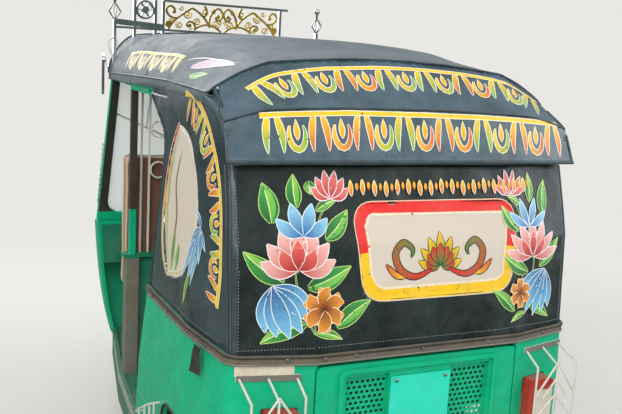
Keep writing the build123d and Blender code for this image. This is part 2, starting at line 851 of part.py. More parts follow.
under = cloth + seam_gap
roof_length = roof_rows[-1][0] - roof_rows[0][0]
with BuildPart() as band_room:
    loft(sections=band_cores[1], ruled=True)
    split(bisect_by=Plane.XZ.offset(-roof_rows[-1][0]), keep=Keep.BOTTOM)
with BuildPart() as hood_room:
    loft(sections=[arch_section(row, floor_z, under) for row in roof_rows], ruled=True)
    add(band_room.part)
    with BuildSketch(Plane.XY.offset(floor_z)):
        with Locations((0, roof_rows[0][0] + roof_length / 2)):
            Rectangle(2 * arch_rod_x, roof_length)
    extrude(amount=roof_rows[0][2] - skirt_depth - floor_z)
    with BuildSketch(Plane.XY.offset(floor_z)):
        with Locations((0, half_length / 2)):
            Rectangle(2 * arch_rod_x, half_length)
    extrude(amount=lip_z - floor_z)
with BuildPart() as curtain_wall:
    loft(sections=[tub_outline(row, 0, curtain_corner_radius) for row in curtain_rows], ruled=True)
    loft(
        sections=[tub_outline(row, cloth, curtain_corner_radius) for row in curtain_rows],
        ruled=True,
        mode=Mode.SUBTRACT,
    )
    add(hood_room.part, mode=Mode.INTERSECT)
    with BuildSketch(Plane.YZ):
        with BuildLine():
            Polyline(
                (0, tub_waist),
                (curtain_front_bottom_y, tub_waist),
                (curtain_front_bottom_y, belt_z),
                *curtain_front,
                (0, curtain_front[-1][1]),
                close=True,
            )
        make_face()
    extrude(amount=half_length, both=True, mode=Mode.SUBTRACT)

with BuildPart() as side_window_cut:
    with BuildSketch(Plane.YZ):
        with BuildLine():
            ThreePointArc(side_window_tip, side_window_rear, side_window_foot)
            ThreePointArc(side_window_foot, side_window_front, side_window_tip)
        make_face()
    extrude(amount=half_length, both=True)
with BuildPart() as side_curtain_left:
    add(curtain_wall.part)
    split(bisect_by=Plane.YZ.offset(curtain_split_x), keep=Keep.TOP)
    add(side_window_cut.part, mode=Mode.SUBTRACT)
save(side_curtain_left, "side_curtain_left")
with BuildPart() as side_curtain_right:
    add(mirror(side_curtain_left.part, about=Plane.YZ))
save(side_curtain_right, "side_curtain_right")

with BuildPart() as rear_window_cut:
    with BuildSketch(Plane.XZ.offset(-arch_middle_y)) as window_outline:
        with BuildLine():
            Polyline(
                (window_centre_x - window_top_half, window_top_z),
                (window_centre_x + window_top_half, window_top_z),
                (window_centre_x + window_bottom_half, window_bottom_z),
                (window_centre_x - window_bottom_half, window_bottom_z),
                close=True,
            )
        make_face()
        fillet(window_outline.vertices(), radius=window_radius)
    extrude(amount=-half_length)
with BuildPart() as rear_curtain:
    add(curtain_wall.part)
    split(bisect_by=Plane.YZ.offset(curtain_split_x), keep=Keep.BOTTOM)
    split(bisect_by=Plane.YZ.offset(-curtain_split_x), keep=Keep.TOP)
    split(bisect_by=Plane.XY.offset(lip_z), keep=Keep.BOTTOM)
    add(rear_window_cut.part, mode=Mode.SUBTRACT)
save(rear_curtain, "rear_curtain")

pane_inset = (cloth - pane) / 2
with BuildPart() as pane_wall:
    loft(sections=[tub_outline(row, pane_inset, curtain_corner_radius) for row in curtain_rows], ruled=True)
    loft(
        sections=[tub_outline(row, pane_inset + pane, curtain_corner_radius) for row in curtain_rows],
        ruled=True,
        mode=Mode.SUBTRACT,
    )
with BuildPart() as rear_window:
    add(pane_wall.part)
    add(rear_window_cut.part, mode=Mode.INTERSECT)
save(rear_window, "rear_window")
with BuildPart() as side_windows:
    add(pane_wall.part)
    add(side_window_cut.part, mode=Mode.INTERSECT)
save(side_windows, "side_windows")

# Front apron and the wheelhouse behind it
with BuildPart() as apron_form:
    for z, half, back, flank, nose in apron_rows:
        with BuildSketch(Plane.XY.offset(z)):
            with BuildLine():
                Polyline((half, flank), (half, back), (-half, back), (-half, flank))
                ThreePointArc((-half, flank), (0, nose), (half, flank))
            make_face()
    loft()
apron_top = apron_rows[-1][0] - apron_wall
with BuildPart() as apron_core:
    for z, half, back, flank, nose in apron_rows:
        with BuildSketch(Plane.XY.offset(min(z, apron_top))):
            inner_half = half - apron_wall
            inner_flank = flank + apron_wall / 2
            with BuildLine():
                Polyline(
                    (inner_half, inner_flank),
                    (inner_half, back + apron_wall),
                    (-inner_half, back + apron_wall),
                    (-inner_half, inner_flank),
                )
                ThreePointArc((-inner_half, inner_flank), (0, nose + apron_wall), (inner_half, inner_flank))
            make_face()
    loft()
with BuildPart() as wheel_bay:
    with BuildSketch(Plane.XY.offset(wheelhouse_bottom)):
        with Locations((0, wheelhouse_y)):
            Circle(wheelhouse_radius + wheelhouse_wall)
    extrude(amount=wheelhouse_top - wheelhouse_bottom)

with BuildPart() as front_apron:
    add(apron_form.part)
    add(apron_core.part, mode=Mode.SUBTRACT)
    add(wheel_bay.part, mode=Mode.SUBTRACT)
save(front_apron, "front_apron")

with BuildPart() as steering_head:
    add(apron_core.part)
    add(wheel_bay.part, mode=Mode.INTERSECT)
    with BuildSketch(Plane.XY.offset(wheelhouse_bottom)):
        with Locations((0, wheelhouse_y)):
            Circle(wheelhouse_radius)
    extrude(amount=wheelhouse_top - wheelhouse_wall - wheelhouse_bottom, mode=Mode.SUBTRACT)
    with BuildSketch(steer.offset(head_bottom)):
        Circle(stem_radius + head_wall)
    extrude(amount=head_top - head_bottom)
    with BuildSketch(steer):
        Circle(stem_radius + running_gap)
    extrude(amount=bar_height, mode=Mode.SUBTRACT)
save(steering_head, "steering_head")

# Cabin floor with its sills, and the chassis below it
floor_rear_y = bench_front_y + sheet_metal
sill_rear_y = quarter_front_bottom_y - sill_gap
sill_rear_half = tub_half(quarter_front_bottom_y) - wall - seam_gap
with BuildPart() as floor_pan:
    add(apron_core.part)
    split(bisect_by=Plane.XY.offset(floor_z), keep=Keep.BOTTOM)
    with BuildSketch(Plane.XY.offset(floor_z - floor_plate)):
        with BuildLine():
            Polyline(
                (floor_front_half, floor_front_y),
                (post_half, post_y),
                (sill_rear_half, quarter_front_bottom_y),
                (tub_half(floor_rear_y) - wall - seam_gap, floor_rear_y),
                (seam_gap + wall - tub_half(floor_rear_y), floor_rear_y),
                (-sill_rear_half, quarter_front_bottom_y),
                (-post_half, post_y),
                (-floor_front_half, floor_front_y),
                close=True,
            )
        make_face()
    extrude(amount=floor_plate)
    for sill_side in (-1, 1):
        with BuildSketch(Plane.XY.offset(sill_bottom)):
            with BuildLine():
                Polyline(
                    (sill_side * floor_front_half, floor_front_y),
                    (sill_side * post_half, post_y),
                    (sill_side * sill_rear_half, sill_rear_y),
                    (sill_side * (sill_rear_half + sill_width), sill_rear_y),
                    (sill_side * (post_half + sill_width), post_y),
                    (sill_side * (floor_front_half + sill_width), floor_front_y),
                    close=True,
                )
            make_face()
        extrude(amount=sill_top - sill_bottom)
    add(wheel_bay.part, mode=Mode.SUBTRACT)
save(floor_pan, "floor_pan")

rail_top = floor_z - floor_plate
rail_bottom = rail_top - rail_height
with BuildPart() as chassis:
    with BuildSketch(Plane.XY.offset(rail_bottom)):
        with Locations((rail_x, (rail_front_y + rail_rear_y) / 2), (-rail_x, (rail_front_y + rail_rear_y) / 2)):
            Rectangle(rail_width, rail_rear_y - rail_front_y)
    extrude(amount=rail_height)
save(chassis, "chassis")

cross_top = rail_bottom + cross_rise + cross_height
with BuildPart() as cross_members:
    for cross_y in cross_ys:
        with BuildSketch(Plane.XY.offset(cross_top - cross_height)):
            with Locations((0, cross_y)):
                Rectangle(2 * cross_half, cross_depth)
        extrude(amount=cross_height)
    add(chassis.part, mode=Mode.SUBTRACT)
save(cross_members, "cross_members")

# Windscreen frame and glass in a raked plane; the frame's outline is the hood's front section less the cloth
screen_plane = Plane((0, screen_bottom_y, screen_bottom_z), x_dir=(1, 0, 0), z_dir=(0, -1, screen_lean))
screen_stretch = (1 + screen_lean**2) ** 0.5


def screen_y(z):
    """Y of the windscreen's front face at height z."""
    return screen_bottom_y + (z - screen_bottom_z) * screen_lean


def opening_face(plane):
    """Outline of the windscreen's opening on its raked plane."""
    top = (glass_top_z - screen_bottom_z) * screen_stretch
    with BuildSketch(plane) as outline:
        with BuildLine():
            Polyline(
                (-glass_top_half, top),
                (screen_frame - screen_bottom_half, screen_frame),
                (screen_bottom_half - screen_frame, screen_frame),
                (glass_top_half, top),
            )
            ThreePointArc((glass_top_half, top), (0, top + glass_arch), (-glass_top_half, top))
        make_face()
        fillet(outline.vertices(), radius=glass_radius)
    return outline.sketch


screen_opening = opening_face(screen_plane)
glass_outline = opening_face(screen_plane.offset(-(screen_depth - glass) / 2))
screen_column = arch_section((screen_bottom_y, *roof_rows[0][1:]), screen_bottom_z, under, screen_bottom_half)
with BuildPart() as windscreen_frame:
    extrude(screen_column, amount=screen_bottom_y - screen_y(roof_rows[0][5]) - 2 * screen_depth)
    with BuildSketch(screen_plane):
        Rectangle(4 * screen_bottom_half, 4 * screen_bottom_half)
    extrude(amount=-screen_depth, mode=Mode.INTERSECT)
    extrude(screen_opening, amount=-screen_depth, mode=Mode.SUBTRACT)
    add(front_apron.part, mode=Mode.SUBTRACT)
save(windscreen_frame, "windscreen_frame")
with BuildPart() as windscreen_glass:
    extrude(glass_outline, amount=-glass)
save(windscreen_glass, "windscreen_glass")

with BuildPart() as dashboard:
    add(apron_core.part)
    split(bisect_by=Plane.XZ.offset(-floor_front_y), keep=Keep.TOP)
    split(bisect_by=Plane.XZ.offset(-floor_front_y + apron_wall), keep=Keep.BOTTOM)
    split(bisect_by=Plane.XY.offset(dash_bottom), keep=Keep.TOP)
    with BuildSketch(steer):
        Circle(stem_radius + head_wall)
    extrude(amount=bar_height, mode=Mode.SUBTRACT)
save(dashboard, "dashboard")

bezel_y = headlamp_front_y + headlamp_bezel
with BuildPart() as headlamp:
    with BuildSketch(Plane.XZ.offset(-headlamp_rear_y)):
        with Locations((0, headlamp_z)):
            Circle(headlamp_radius)
    extrude(amount=headlamp_rear_y - headlamp_front_y)
    with BuildSketch(Plane.XZ.offset(-bezel_y)):
        with Locations((0, headlamp_z)):
            Circle(headlamp_radius - headlamp_rim)
    extrude(amount=headlamp_bezel, mode=Mode.SUBTRACT)
    add(apron_form.part, mode=Mode.SUBTRACT)
    chamfer(headlamp.edges().group_by(Axis.Y)[0].sort_by(SortBy.LENGTH)[-1], length=headlamp_rim / 2)
save(headlamp, "headlamp")
with BuildPart() as front_lenses:
    with BuildSketch(Plane.XZ.offset(-bezel_y)):
        with Locations((0, headlamp_z)):
            Circle(headlamp_radius - headlamp_rim)
    extrude(amount=lens_depth, taper=lens_taper)
    with BuildSketch(Plane.XZ.offset(-headlamp_rear_y)):
        with Locations((indicator_x, headlamp_z), (-indicator_x, headlamp_z)):
            Circle(indicator_radius)
    extrude(amount=indicator_depth)
    add(apron_form.part, mode=Mode.SUBTRACT)
save(front_lenses, "front_lenses")

# Partition behind the driver: a box post on each side, a panel and a rail between them, and a cage of rods on top
with BuildPart() as partition_panel:
    with BuildSketch(Plane.XY.offset(floor_z)):
        with Locations((0, post_y)):
            Rectangle(2 * post_half - b_post_width, partition_thickness)
        with Locations(
            (post_half - b_post_width / 2, b_post_rear_y - b_post_depth / 2),
            (b_post_width / 2 - post_half, b_post_rear_y - b_post_depth / 2),
        ):
            Rectangle(b_post_width, b_post_depth)
    extrude(amount=partition_top - floor_z)
    with BuildSketch(Plane.XY.offset(partition_top)):
        with Locations((0, b_post_rear_y - b_post_depth / 2)):
            Rectangle(2 * (post_half + partition_cap), b_post_depth)
    extrude(amount=partition_cap)
    add(floor_pan.part, mode=Mode.SUBTRACT)
save(partition_panel, "partition_panel")

cage_bottom = partition_top + partition_cap
cage_top = side_rail_z - cage_rod
with BuildPart() as partition_cage:
    with BuildSketch(Plane.XZ.offset(-post_y)):
        for rod_x in rod_xs:
            with Locations((rod_x, (cage_bottom + cage_top) / 2)):
                Rectangle(cage_rod, cage_top - cage_bottom)
        with Locations(*[(x, z) for x in (-ring_x, ring_x) for z in ring_zs]):
            Circle(ring_radius)
            Circle(ring_radius - ring_wall, mode=Mode.SUBTRACT)
    extrude(amount=cage_rod)
    with BuildSketch(Plane.XY.offset(cage_top - cage_rod)):
        with Locations((0, post_y)):
            Rectangle(2 * cage_half, cage_bar)
    extrude(amount=cage_bar)
save(partition_cage, "partition_cage")

# Hood frame: bows and side rails of square tube, trimmed to the cloth above them
with BuildPart() as hood_frame:
    for bow_y, half, foot in bow_rows:
        bow_row = (bow_y + bow / 2, half + under, *roof_row_at(bow_y)[2:])
        extrude(arch_section(bow_row, foot, under), amount=bow)
        extrude(arch_section(bow_row, foot, under + bow), amount=bow, mode=Mode.SUBTRACT)
    rail_outer = [(roof_rows[0][1] - under, screen_y(side_rail_z)), *[(half, y) for y, half, foot in bow_rows]]
    rail_inner = [(x - bow, y) for x, y in rail_outer]
    for rail_side in (-1, 1):
        with BuildSketch(Plane.XY.offset(side_rail_z)):
            with BuildLine():
                Polyline(*[(rail_side * x, y) for x, y in rail_outer + rail_inner[::-1]], close=True)
            make_face()
        extrude(amount=bow)
    add(hood_room.part, mode=Mode.INTERSECT)
    add(windscreen_frame.part, mode=Mode.SUBTRACT)
    add(partition_cage.part, mode=Mode.SUBTRACT)
save(hood_frame, "hood_frame")

# Bent bars over the rear of the door openings, along the curtains' free edges
door_level = side_rail_z - door_bar / 2
door_start = bow_rows[0][0] + bow / 2
with BuildPart() as door_arches:
    for arch_side in (-1, 1):
        splay = arch_side * door_splay
        with BuildSketch(Plane((arch_side * door_bar_x, 0, 0), x_dir=(splay, 1, 0), z_dir=(1, -splay, 0))):
            with BuildLine():
                Line((door_start, door_level), (door_bend_y, door_level))
                ThreePointArc((door_bend_y, door_level), door_bar_middle, door_bar_end)
            trace(line_width=door_bar)
        extrude(amount=door_bar_thickness / 2, both=True)
    add(hood_room.part, mode=Mode.INTERSECT)
    add(hood_frame.part, mode=Mode.SUBTRACT)
save(door_arches, "door_arches")

# Seats
partition_front = post_y - partition_thickness / 2
box_depth = partition_front - driver_box_front
with BuildPart() as driver_seat_box:
    with BuildSketch(Plane.XY.offset(floor_z)):
        with Locations((0, partition_front - box_depth / 2)):
            Rectangle(2 * driver_box_half, box_depth)
            offset(amount=-sheet_metal, mode=Mode.SUBTRACT)
    extrude(amount=driver_box_top - floor_z - sheet_metal)
    with BuildSketch(Plane.XY.offset(driver_box_top - sheet_metal)):
        with Locations((0, partition_front - box_depth / 2)):
            Rectangle(2 * driver_box_half, box_depth)
    extrude(amount=sheet_metal)
save(driver_seat_box, "driver_seat_box")

cushion_depth = box_depth + driver_cushion_lap - seam_gap
with BuildPart() as driver_cushion:
    with BuildSketch(Plane.XY.offset(driver_box_top + seam_gap)):
        with Locations((0, partition_front - seam_gap - cushion_depth / 2)):
            RectangleRounded(2 * (driver_box_half + driver_cushion_lap), cushion_depth, cushion_round)
    extrude(amount=cushion_thickness)
    fillet(driver_cushion.faces().sort_by(Axis.Z)[-1].edges(), radius=cushion_round)
save(driver_cushion, "driver_cushion")

back_bottom = driver_box_top + cushion_thickness + cushion_gap
back_rear_y = b_post_rear_y - b_post_depth - seam_gap
with BuildPart() as driver_backrest:
    with BuildSketch(Plane.XZ.offset(-back_rear_y)):
        with Locations((0, (driver_back_top + back_bottom) / 2)):
            RectangleRounded(2 * driver_back_half, driver_back_top - back_bottom, cushion_round)
    extrude(amount=driver_back_thickness)
    fillet(driver_backrest.faces().sort_by(Axis.Y)[0].edges(), radius=cushion_round)
save(driver_backrest, "driver_backrest")

with BuildPart() as bench:
    with BuildSketch(Plane.YZ):
        with BuildLine():
            Polyline(
                (bench_front_y, floor_z),
                (bench_front_y, bench_top),
                (firewall_y, bench_top),
                (firewall_y, ledge_z),
                (tub_rows[2][5], ledge_z),
                (tub_rows[2][5], ledge_z - sheet_metal),
                (firewall_y + sheet_metal, ledge_z - sheet_metal),
                (firewall_y + sheet_metal, bench_top - sheet_metal),
                (bench_front_y + sheet_metal, bench_top - sheet_metal),
                (bench_front_y + sheet_metal, floor_z),
                close=True,
            )
        make_face()
    extrude(amount=half_length, both=True)
    add(tub_core.part, mode=Mode.INTERSECT)
save(bench, "bench")

bench_cushion_front = bench_front_y - bench_cushion_lap
bench_cushion_rear = bench_back_front_y - seam_gap
with BuildPart() as passenger_cushion:
    with BuildSketch(Plane.XY.offset(bench_top + seam_gap)):
        with Locations((0, (bench_cushion_front + bench_cushion_rear) / 2)):
            RectangleRounded(2 * bench_cushion_half, bench_cushion_rear - bench_cushion_front, cushion_round)
    extrude(amount=cushion_thickness)
    fillet(passenger_cushion.faces().sort_by(Axis.Z)[-1].edges(), radius=cushion_round)
save(passenger_cushion, "passenger_cushion")
with BuildPart() as passenger_backrest:
    with BuildSketch(Plane.YZ):
        with BuildLine():
            Polyline(
                (bench_back_front_y, bench_top + cushion_thickness + seam_gap),
                (firewall_y - seam_gap, bench_top + cushion_thickness + seam_gap),
                *bench_back_top,
                close=True,
            )
        make_face()
    extrude(amount=bench_cushion_half, both=True)
    fillet(passenger_backrest.edges().filter_by(Axis.X).group_by(Axis.Z)[-1], radius=cushion_round)
save(passenger_backrest, "passenger_backrest")

# Engine bay: engine and gear housing, muffler, trailing arms, half shafts and dampers
with BuildPart() as engine:
    with BuildSketch(Plane.XY.offset(cross_top)):
        with Locations((0, rear_axle_y)):
            RectangleRounded(engine_size, engine_size, boot_radius)
    extrude(amount=engine_height)
    with BuildSketch(Plane.YZ):
        with Locations((rear_axle_y, wheel_radius)):
            Circle(barrel_radius)
        with Locations((rear_axle_y, (wheel_radius + cross_top) / 2)):
            Rectangle(2 * barrel_radius, cross_top - wheel_radius)
    extrude(amount=barrel_half, both=True)
save(engine, "engine")

muffler_z = rail_top + muffler_radius
with BuildPart() as exhaust:
    with BuildSketch(Plane.YZ):
        with Locations((muffler_y, muffler_z)):
            Circle(muffler_radius)
    extrude(amount=muffler_half, both=True)
    with BuildLine() as pipe_path:
        Line((pipe_x, muffler_y, rail_top + pipe_radius), (pipe_x, *pipe_end))
    with BuildSketch(pipe_path.line ^ 0):
        Circle(pipe_radius)
    sweep()
save(exhaust, "exhaust")

arm_pivot_y = bench_front_y - 20
arm_pivot_z = cross_top - cross_height / 2
with BuildPart() as trailing_arms:
    for arm_side in (-1, 1):
        with BuildSketch(Plane.YZ.offset(arm_side * (arm_pivot_x - arm_pivot_half))):
            with Locations((arm_pivot_y, arm_pivot_z)):
                Circle(arm_pivot_radius)
        extrude(amount=arm_side * 2 * arm_pivot_half)
        with BuildLine() as arm_path:
            Line(
                (arm_side * arm_pivot_x, arm_pivot_y, arm_pivot_z),
                (arm_side * carrier_x, rear_axle_y, wheel_radius),
            )
        with BuildSketch(arm_path.line ^ 0):
            Rectangle(arm_section, arm_section)
        sweep()
        # columns: radius, inner x and outer x of the stepped axle carrier
        for step_radius, step_inner, step_outer in (
            (carrier_radius, carrier_inner_x, carrier_outer_x),
            (plate_radius, carrier_outer_x, carrier_outer_x + plate_thickness),
            (axle_radius, carrier_outer_x, rear_track / 2 + hub_outer_x + stub_reach),
        ):
            with BuildSketch(Plane.YZ.offset(arm_side * step_inner)):
                with Locations((rear_axle_y, wheel_radius)):
                    Circle(step_radius)
            extrude(amount=arm_side * (step_outer - step_inner))
save(trailing_arms, "trailing_arms")
with BuildPart() as half_shafts:
    for shaft_side in (-1, 1):
        # columns: radius, inner x and length of the shaft and of its two boots
        for step_radius, step_inner, step_length in (
            (shaft_radius, barrel_half, carrier_inner_x - barrel_half),
            (boot_radius, barrel_half, boot_length),
            (boot_radius, boot_outer_x, boot_length),
        ):
            with BuildSketch(Plane.YZ.offset(shaft_side * step_inner)):
                with Locations((rear_axle_y, wheel_radius)):
                    Circle(step_radius)
            extrude(amount=shaft_side * step_length)
    add(trailing_arms.part, mode=Mode.SUBTRACT)
save(half_shafts, "half_shafts")
with BuildPart() as rear_dampers:
    with BuildSketch(Plane.XY.offset(rear_damper_foot)):
        with Locations((rear_damper_x, rear_damper_y), (-rear_damper_x, rear_damper_y)):
            Circle(rear_damper_radius)
    extrude(amount=bench_top - sheet_metal - rear_damper_foot)
    add(trailing_arms.part, mode=Mode.SUBTRACT)
save(rear_dampers, "rear_dampers")

# Tail: lamps, lamp guards, arch guards and bumper
with BuildPart() as tail_lamps:
    with BuildSketch(Plane.XZ.offset(-guard_foot_y)):
        with Locations((lamp_x, (lamp_top + lamp_bottom) / 2), (-lamp_x, (lamp_top + lamp_bottom) / 2)):
            RectangleRounded(lamp_width, lamp_top - lamp_bottom, lamp_corner)
    extrude(amount=guard_foot_y - lamp_face_y)
    add(tub_form.part, mode=Mode.SUBTRACT)
save(tail_lamps, "tail_lamps")


def facet_y(x):
    """Y of the slanted rear corner of the tub at the belt, at distance x from the middle."""
    share = (x - tail_flat_half) / (tub_rows[2][3] - tail_flat_half)
    return tub_rows[2][5] + (tub_rows[2][4] - tub_rows[2][5]) * share


guard_xs = (guard_x - guard_half, guard_x, guard_x + guard_half)
strip_ends = (guard_xs[0] - guard_strip_height / 2, guard_xs[2] + guard_strip_height / 2)
with BuildPart() as tail_guards:
    for guard_side in (-1, 1):
        with BuildSketch(Plane.XY.offset(guard_top_z - guard_strip_height / 2)):
            with BuildLine():
                Polyline(
                    (guard_side * strip_ends[0], guard_foot_y),
                    (guard_side * strip_ends[0], facet_y(strip_ends[0]) + guard_strip_thickness),
                    (guard_side * strip_ends[1], facet_y(strip_ends[1]) + guard_strip_thickness),
                    (guard_side * strip_ends[1], guard_foot_y),
                    close=True,
                )
            make_face()
        extrude(amount=guard_strip_height)
        for rod_x in guard_xs:
            with BuildLine() as guard_path:
                Polyline(
                    (guard_side * rod_x, facet_y(rod_x), guard_top_z),
                    (guard_side * rod_x, guard_y, guard_top_z - guard_bend),
                    (guard_side * rod_x, guard_y, guard_foot_z + guard_bend),
                    (guard_side * rod_x, guard_foot_y, guard_foot_z),
                )
            with BuildSketch(guard_path.line ^ 0):
                RegularPolygon(guard_rod, 6)
            sweep(transition=Transition.RIGHT)
        for branch_z, spread, drop in branch_rows:
            for branch_side in (-1, 1):
                with BuildLine() as branch_path:
                    Line(
                        (guard_side * guard_x, guard_y, branch_z),
                        (guard_side * guard_x + branch_side * spread, guard_y, branch_z - drop),
                    )
                with BuildSketch(branch_path.line ^ 0):
                    RegularPolygon(guard_rod, 6)
                sweep()
    add(tub_form.part, mode=Mode.SUBTRACT)
save(tail_guards, "tail_guards")

# Guards before the rear wheels: upright rods between a rising top rail and a level lower rail, on four stubs
top_rail = [(arch_rod_start_y, arch_rod_start_z), arch_rod_rows[1], arch_rod_rows[3]]
with BuildPart() as arch_guards:
    for guard_side in (-1, 1):
        for rod_y, rod_top in arch_rod_rows:
            with BuildSketch(Plane.XY.offset(arch_rod_foot_z)):
                with Locations((guard_side * arch_rod_x, rod_y)):
                    RegularPolygon(arch_rod, 6)
            extrude(amount=rod_top - arch_rod_foot_z)
        with BuildLine() as top_path:
            ThreePointArc(*[(guard_side * arch_rod_x, y, z) for y, z in top_rail])
        with BuildSketch(top_path.line ^ 0):
            RegularPolygon(arch_rod, 6)
        sweep()
        with BuildSketch(Plane.XZ.offset(-arch_rod_rows[0][0])):
            with Locations((guard_side * arch_rod_x, arch_rod_foot_z)):
                RegularPolygon(arch_rod, 6)
        extrude(amount=arch_rod_rows[0][0] - arch_rod_rows[3][0])
        with BuildSketch(Plane.YZ.offset(guard_side * (tub_rows[0][1] - wall / 2))):
            with Locations(top_rail[0], top_rail[2], *[(y, arch_rod_foot_z) for y, z in arch_rod_rows[:3:2]]):
                RegularPolygon(arch_rod, 6)
        extrude(amount=guard_side * (arch_rod_x - tub_rows[0][1] + wall / 2))
    add(tub_form.part, mode=Mode.SUBTRACT)
save(arch_guards, "arch_guards")

with BuildPart() as rear_bumper:
    with BuildSketch(Plane.XY.offset(bumper_bottom)):
        with Locations((0, bumper_y)):
            RectangleRounded(2 * bumper_half, bumper_thickness, bumper_thickness / 3)
        with Locations((rail_x, (rail_rear_y + bumper_y) / 2), (-rail_x, (rail_rear_y + bumper_y) / 2)):
            Rectangle(bracket_width, bumper_y - rail_rear_y)
    extrude(amount=bracket_height)
    with BuildSketch(Plane.XY.offset(bumper_bottom)):
        with Locations((0, bumper_y)):
            RectangleRounded(2 * bumper_half, bumper_thickness, bumper_thickness / 3)
    extrude(amount=bumper_height)
save(rear_bumper, "rear_bumper")

# Roof crown: a rack of posts and rails over the windscreen; its right-hand rosette is missing
rosette_x = sum(rosette_posts) / 2
rosette_radius = (rosette_posts[0] - rosette_posts[1] - crown_post) / 2 + seam_gap
# columns: post x, top z
post_rows = [
    (crown_half, post_head_z),
    (rosette_posts[0], crown_top_z),
    (rosette_posts[1], crown_top_z),
    (panel_left_x, crown_top_z),
    (panel_right_x, crown_top_z),
    (-crown_half, post_head_z),
]
with BuildPart() as crown_rack:
    with BuildSketch(Plane.XZ.offset(-crown_y)):
        for post_x, post_head in post_rows:
            with Locations((post_x, (crown_foot_z + post_head) / 2)):
                Rectangle(crown_post, post_head - crown_foot_z)
        with Locations((0, crown_rail_z)):
            Rectangle(2 * crown_half, crown_rail)
        with BuildLine():
            Polyline(
                (crown_half, crown_rail_z + plank_rise),
                (crown_half, crown_rail_z + plank_rise - plank_height),
                (panel_left_x, crown_rail_z),
                (panel_left_x, crown_rail_z + plank_height),
                close=True,
            )
        make_face()
        with Locations(((panel_left_x + panel_right_x) / 2 - crown_overrun, crown_top_z)):
            Rectangle(panel_left_x - panel_right_x + 2 * crown_overrun, crown_rail)
        with Locations((rosette_x, rosette_z)):
            Circle(rosette_radius)
            Circle(rosette_radius - rosette_ring, mode=Mode.SUBTRACT)
            Circle(2 * rosette_ring)
            with PolarLocations(0, 3):
                Rectangle(2 * rosette_radius - rosette_ring, rosette_ring / 2)
    extrude(amount=crown_depth, both=True)
    for finial_x in (crown_half, -crown_half):
        for finial_plane in (Plane.XZ, Plane.YZ):
            with BuildSketch(Plane((finial_x, crown_y, 0), x_dir=finial_plane.x_dir, z_dir=finial_plane.z_dir)):
                with BuildLine():
                    Polyline(
                        (0, post_head_z - finial_rod),
                        (finial_half, finial_middle_z),
                        (0, finial_head_z),
                        (-finial_half, finial_middle_z),
                        close=True,
                    )
                make_face()
                offset(amount=-finial_rod, mode=Mode.SUBTRACT)
            extrude(amount=finial_rod / 2, both=True)
        with BuildSketch(Plane.XY.offset(finial_head_z - 2 * finial_neck)):
            with Locations((finial_x, crown_y)):
                RegularPolygon(finial_neck, 6)
        extrude(amount=ball_z - finial_head_z + 2 * finial_neck)
        with BuildSketch(Plane((finial_x, crown_y, ball_z), x_dir=(1, 0, 0), z_dir=(0, -1, 0))):
            with BuildLine():
                Line((0, -ball_radius), (0, ball_radius))
                ThreePointArc((0, ball_radius), (ball_radius, 0), (0, -ball_radius))
            make_face()
        revolve(axis=Axis((finial_x, crown_y, ball_z), (0, 0, 1)))
    add(roof_form.part, mode=Mode.SUBTRACT)
save(crown_rack, "crown_rack")

# Scrolls of the crown's middle panel: one half drawn from arcs, the other its mirror image
panel_middle_x = (panel_left_x + panel_right_x) / 2
with BuildPart() as crown_scrolls:
    for scroll_side in (-1, 1):
        facing = (0, -scroll_side, 0)
        with BuildSketch(Plane((panel_middle_x, crown_y, 0), x_dir=(scroll_side, 0, 0), z_dir=facing)):
            for arc_row in scroll_rows:
                with BuildLine():
                    ThreePointArc(*zip(arc_row[::2], arc_row[1::2]))
                trace(line_width=scroll_width)
            for boss_x, boss_z, boss_radius in boss_rows:
                with Locations((boss_x, boss_z)):
                    Circle(boss_radius)
        extrude(amount=scroll_depth / 2, both=True)
    add(crown_rack.part, mode=Mode.SUBTRACT)
save(crown_scrolls, "crown_scrolls")

with BuildPart() as mirrors:
    for mirror_side in (-1, 1):
        with BuildLine() as stem_path:
            Polyline(
                (mirror_side * mirror_foot[0], mirror_foot[1], mirror_foot[2]),
                (mirror_side * mirror_head[0], mirror_head[1], mirror_head[2]),
                (mirror_side * mirror_head[0], mirror_head[1], mirror_head[2] - mirror_height / 2),
            )
        with BuildSketch(stem_path.line ^ 0):
            RegularPolygon(mirror_rod, 8)
        sweep(transition=Transition.RIGHT)
        turn = radians(mirror_turn)
        with BuildSketch(
            Plane(
                (mirror_side * mirror_head[0], mirror_head[1], mirror_head[2] - mirror_height / 2),
                x_dir=(mirror_side * cos(turn), sin(turn), 0),
                z_dir=(sin(turn), -mirror_side * cos(turn), 0),
            )
        ):
            RectangleRounded(mirror_width, mirror_height, mirror_corner)
        extrude(amount=mirror_thickness / 2, both=True)
    add(windscreen_frame.part, mode=Mode.SUBTRACT)
save(mirrors, "mirrors")
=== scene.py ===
"""Auto rickshaw seen from behind its left rear corner: finishes, cloth hood, seats and trim built around the frame."""

import logging
import math
from collections.abc import Callable, Iterable
from dataclasses import dataclass
from enum import Enum
from functools import partial

import bmesh
import bpy
from mathutils import Matrix, Vector, noise
from mathutils.bvhtree import BVHTree


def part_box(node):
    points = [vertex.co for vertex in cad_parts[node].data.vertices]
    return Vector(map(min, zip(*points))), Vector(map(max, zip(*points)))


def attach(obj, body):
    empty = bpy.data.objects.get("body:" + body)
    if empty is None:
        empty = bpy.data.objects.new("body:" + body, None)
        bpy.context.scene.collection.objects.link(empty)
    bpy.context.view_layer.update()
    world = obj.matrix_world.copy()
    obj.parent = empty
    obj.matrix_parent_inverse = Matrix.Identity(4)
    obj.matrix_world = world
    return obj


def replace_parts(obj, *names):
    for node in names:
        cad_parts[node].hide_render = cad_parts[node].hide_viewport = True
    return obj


Place = tuple[float, float, float]
Point = tuple[float, float]
Colours = tuple[str, str, str]
Tree = bpy.types.NodeTree
Node = bpy.types.Node
Socket = bpy.types.NodeSocket
Piece = bpy.types.Object
Mesh = bmesh.types.BMesh

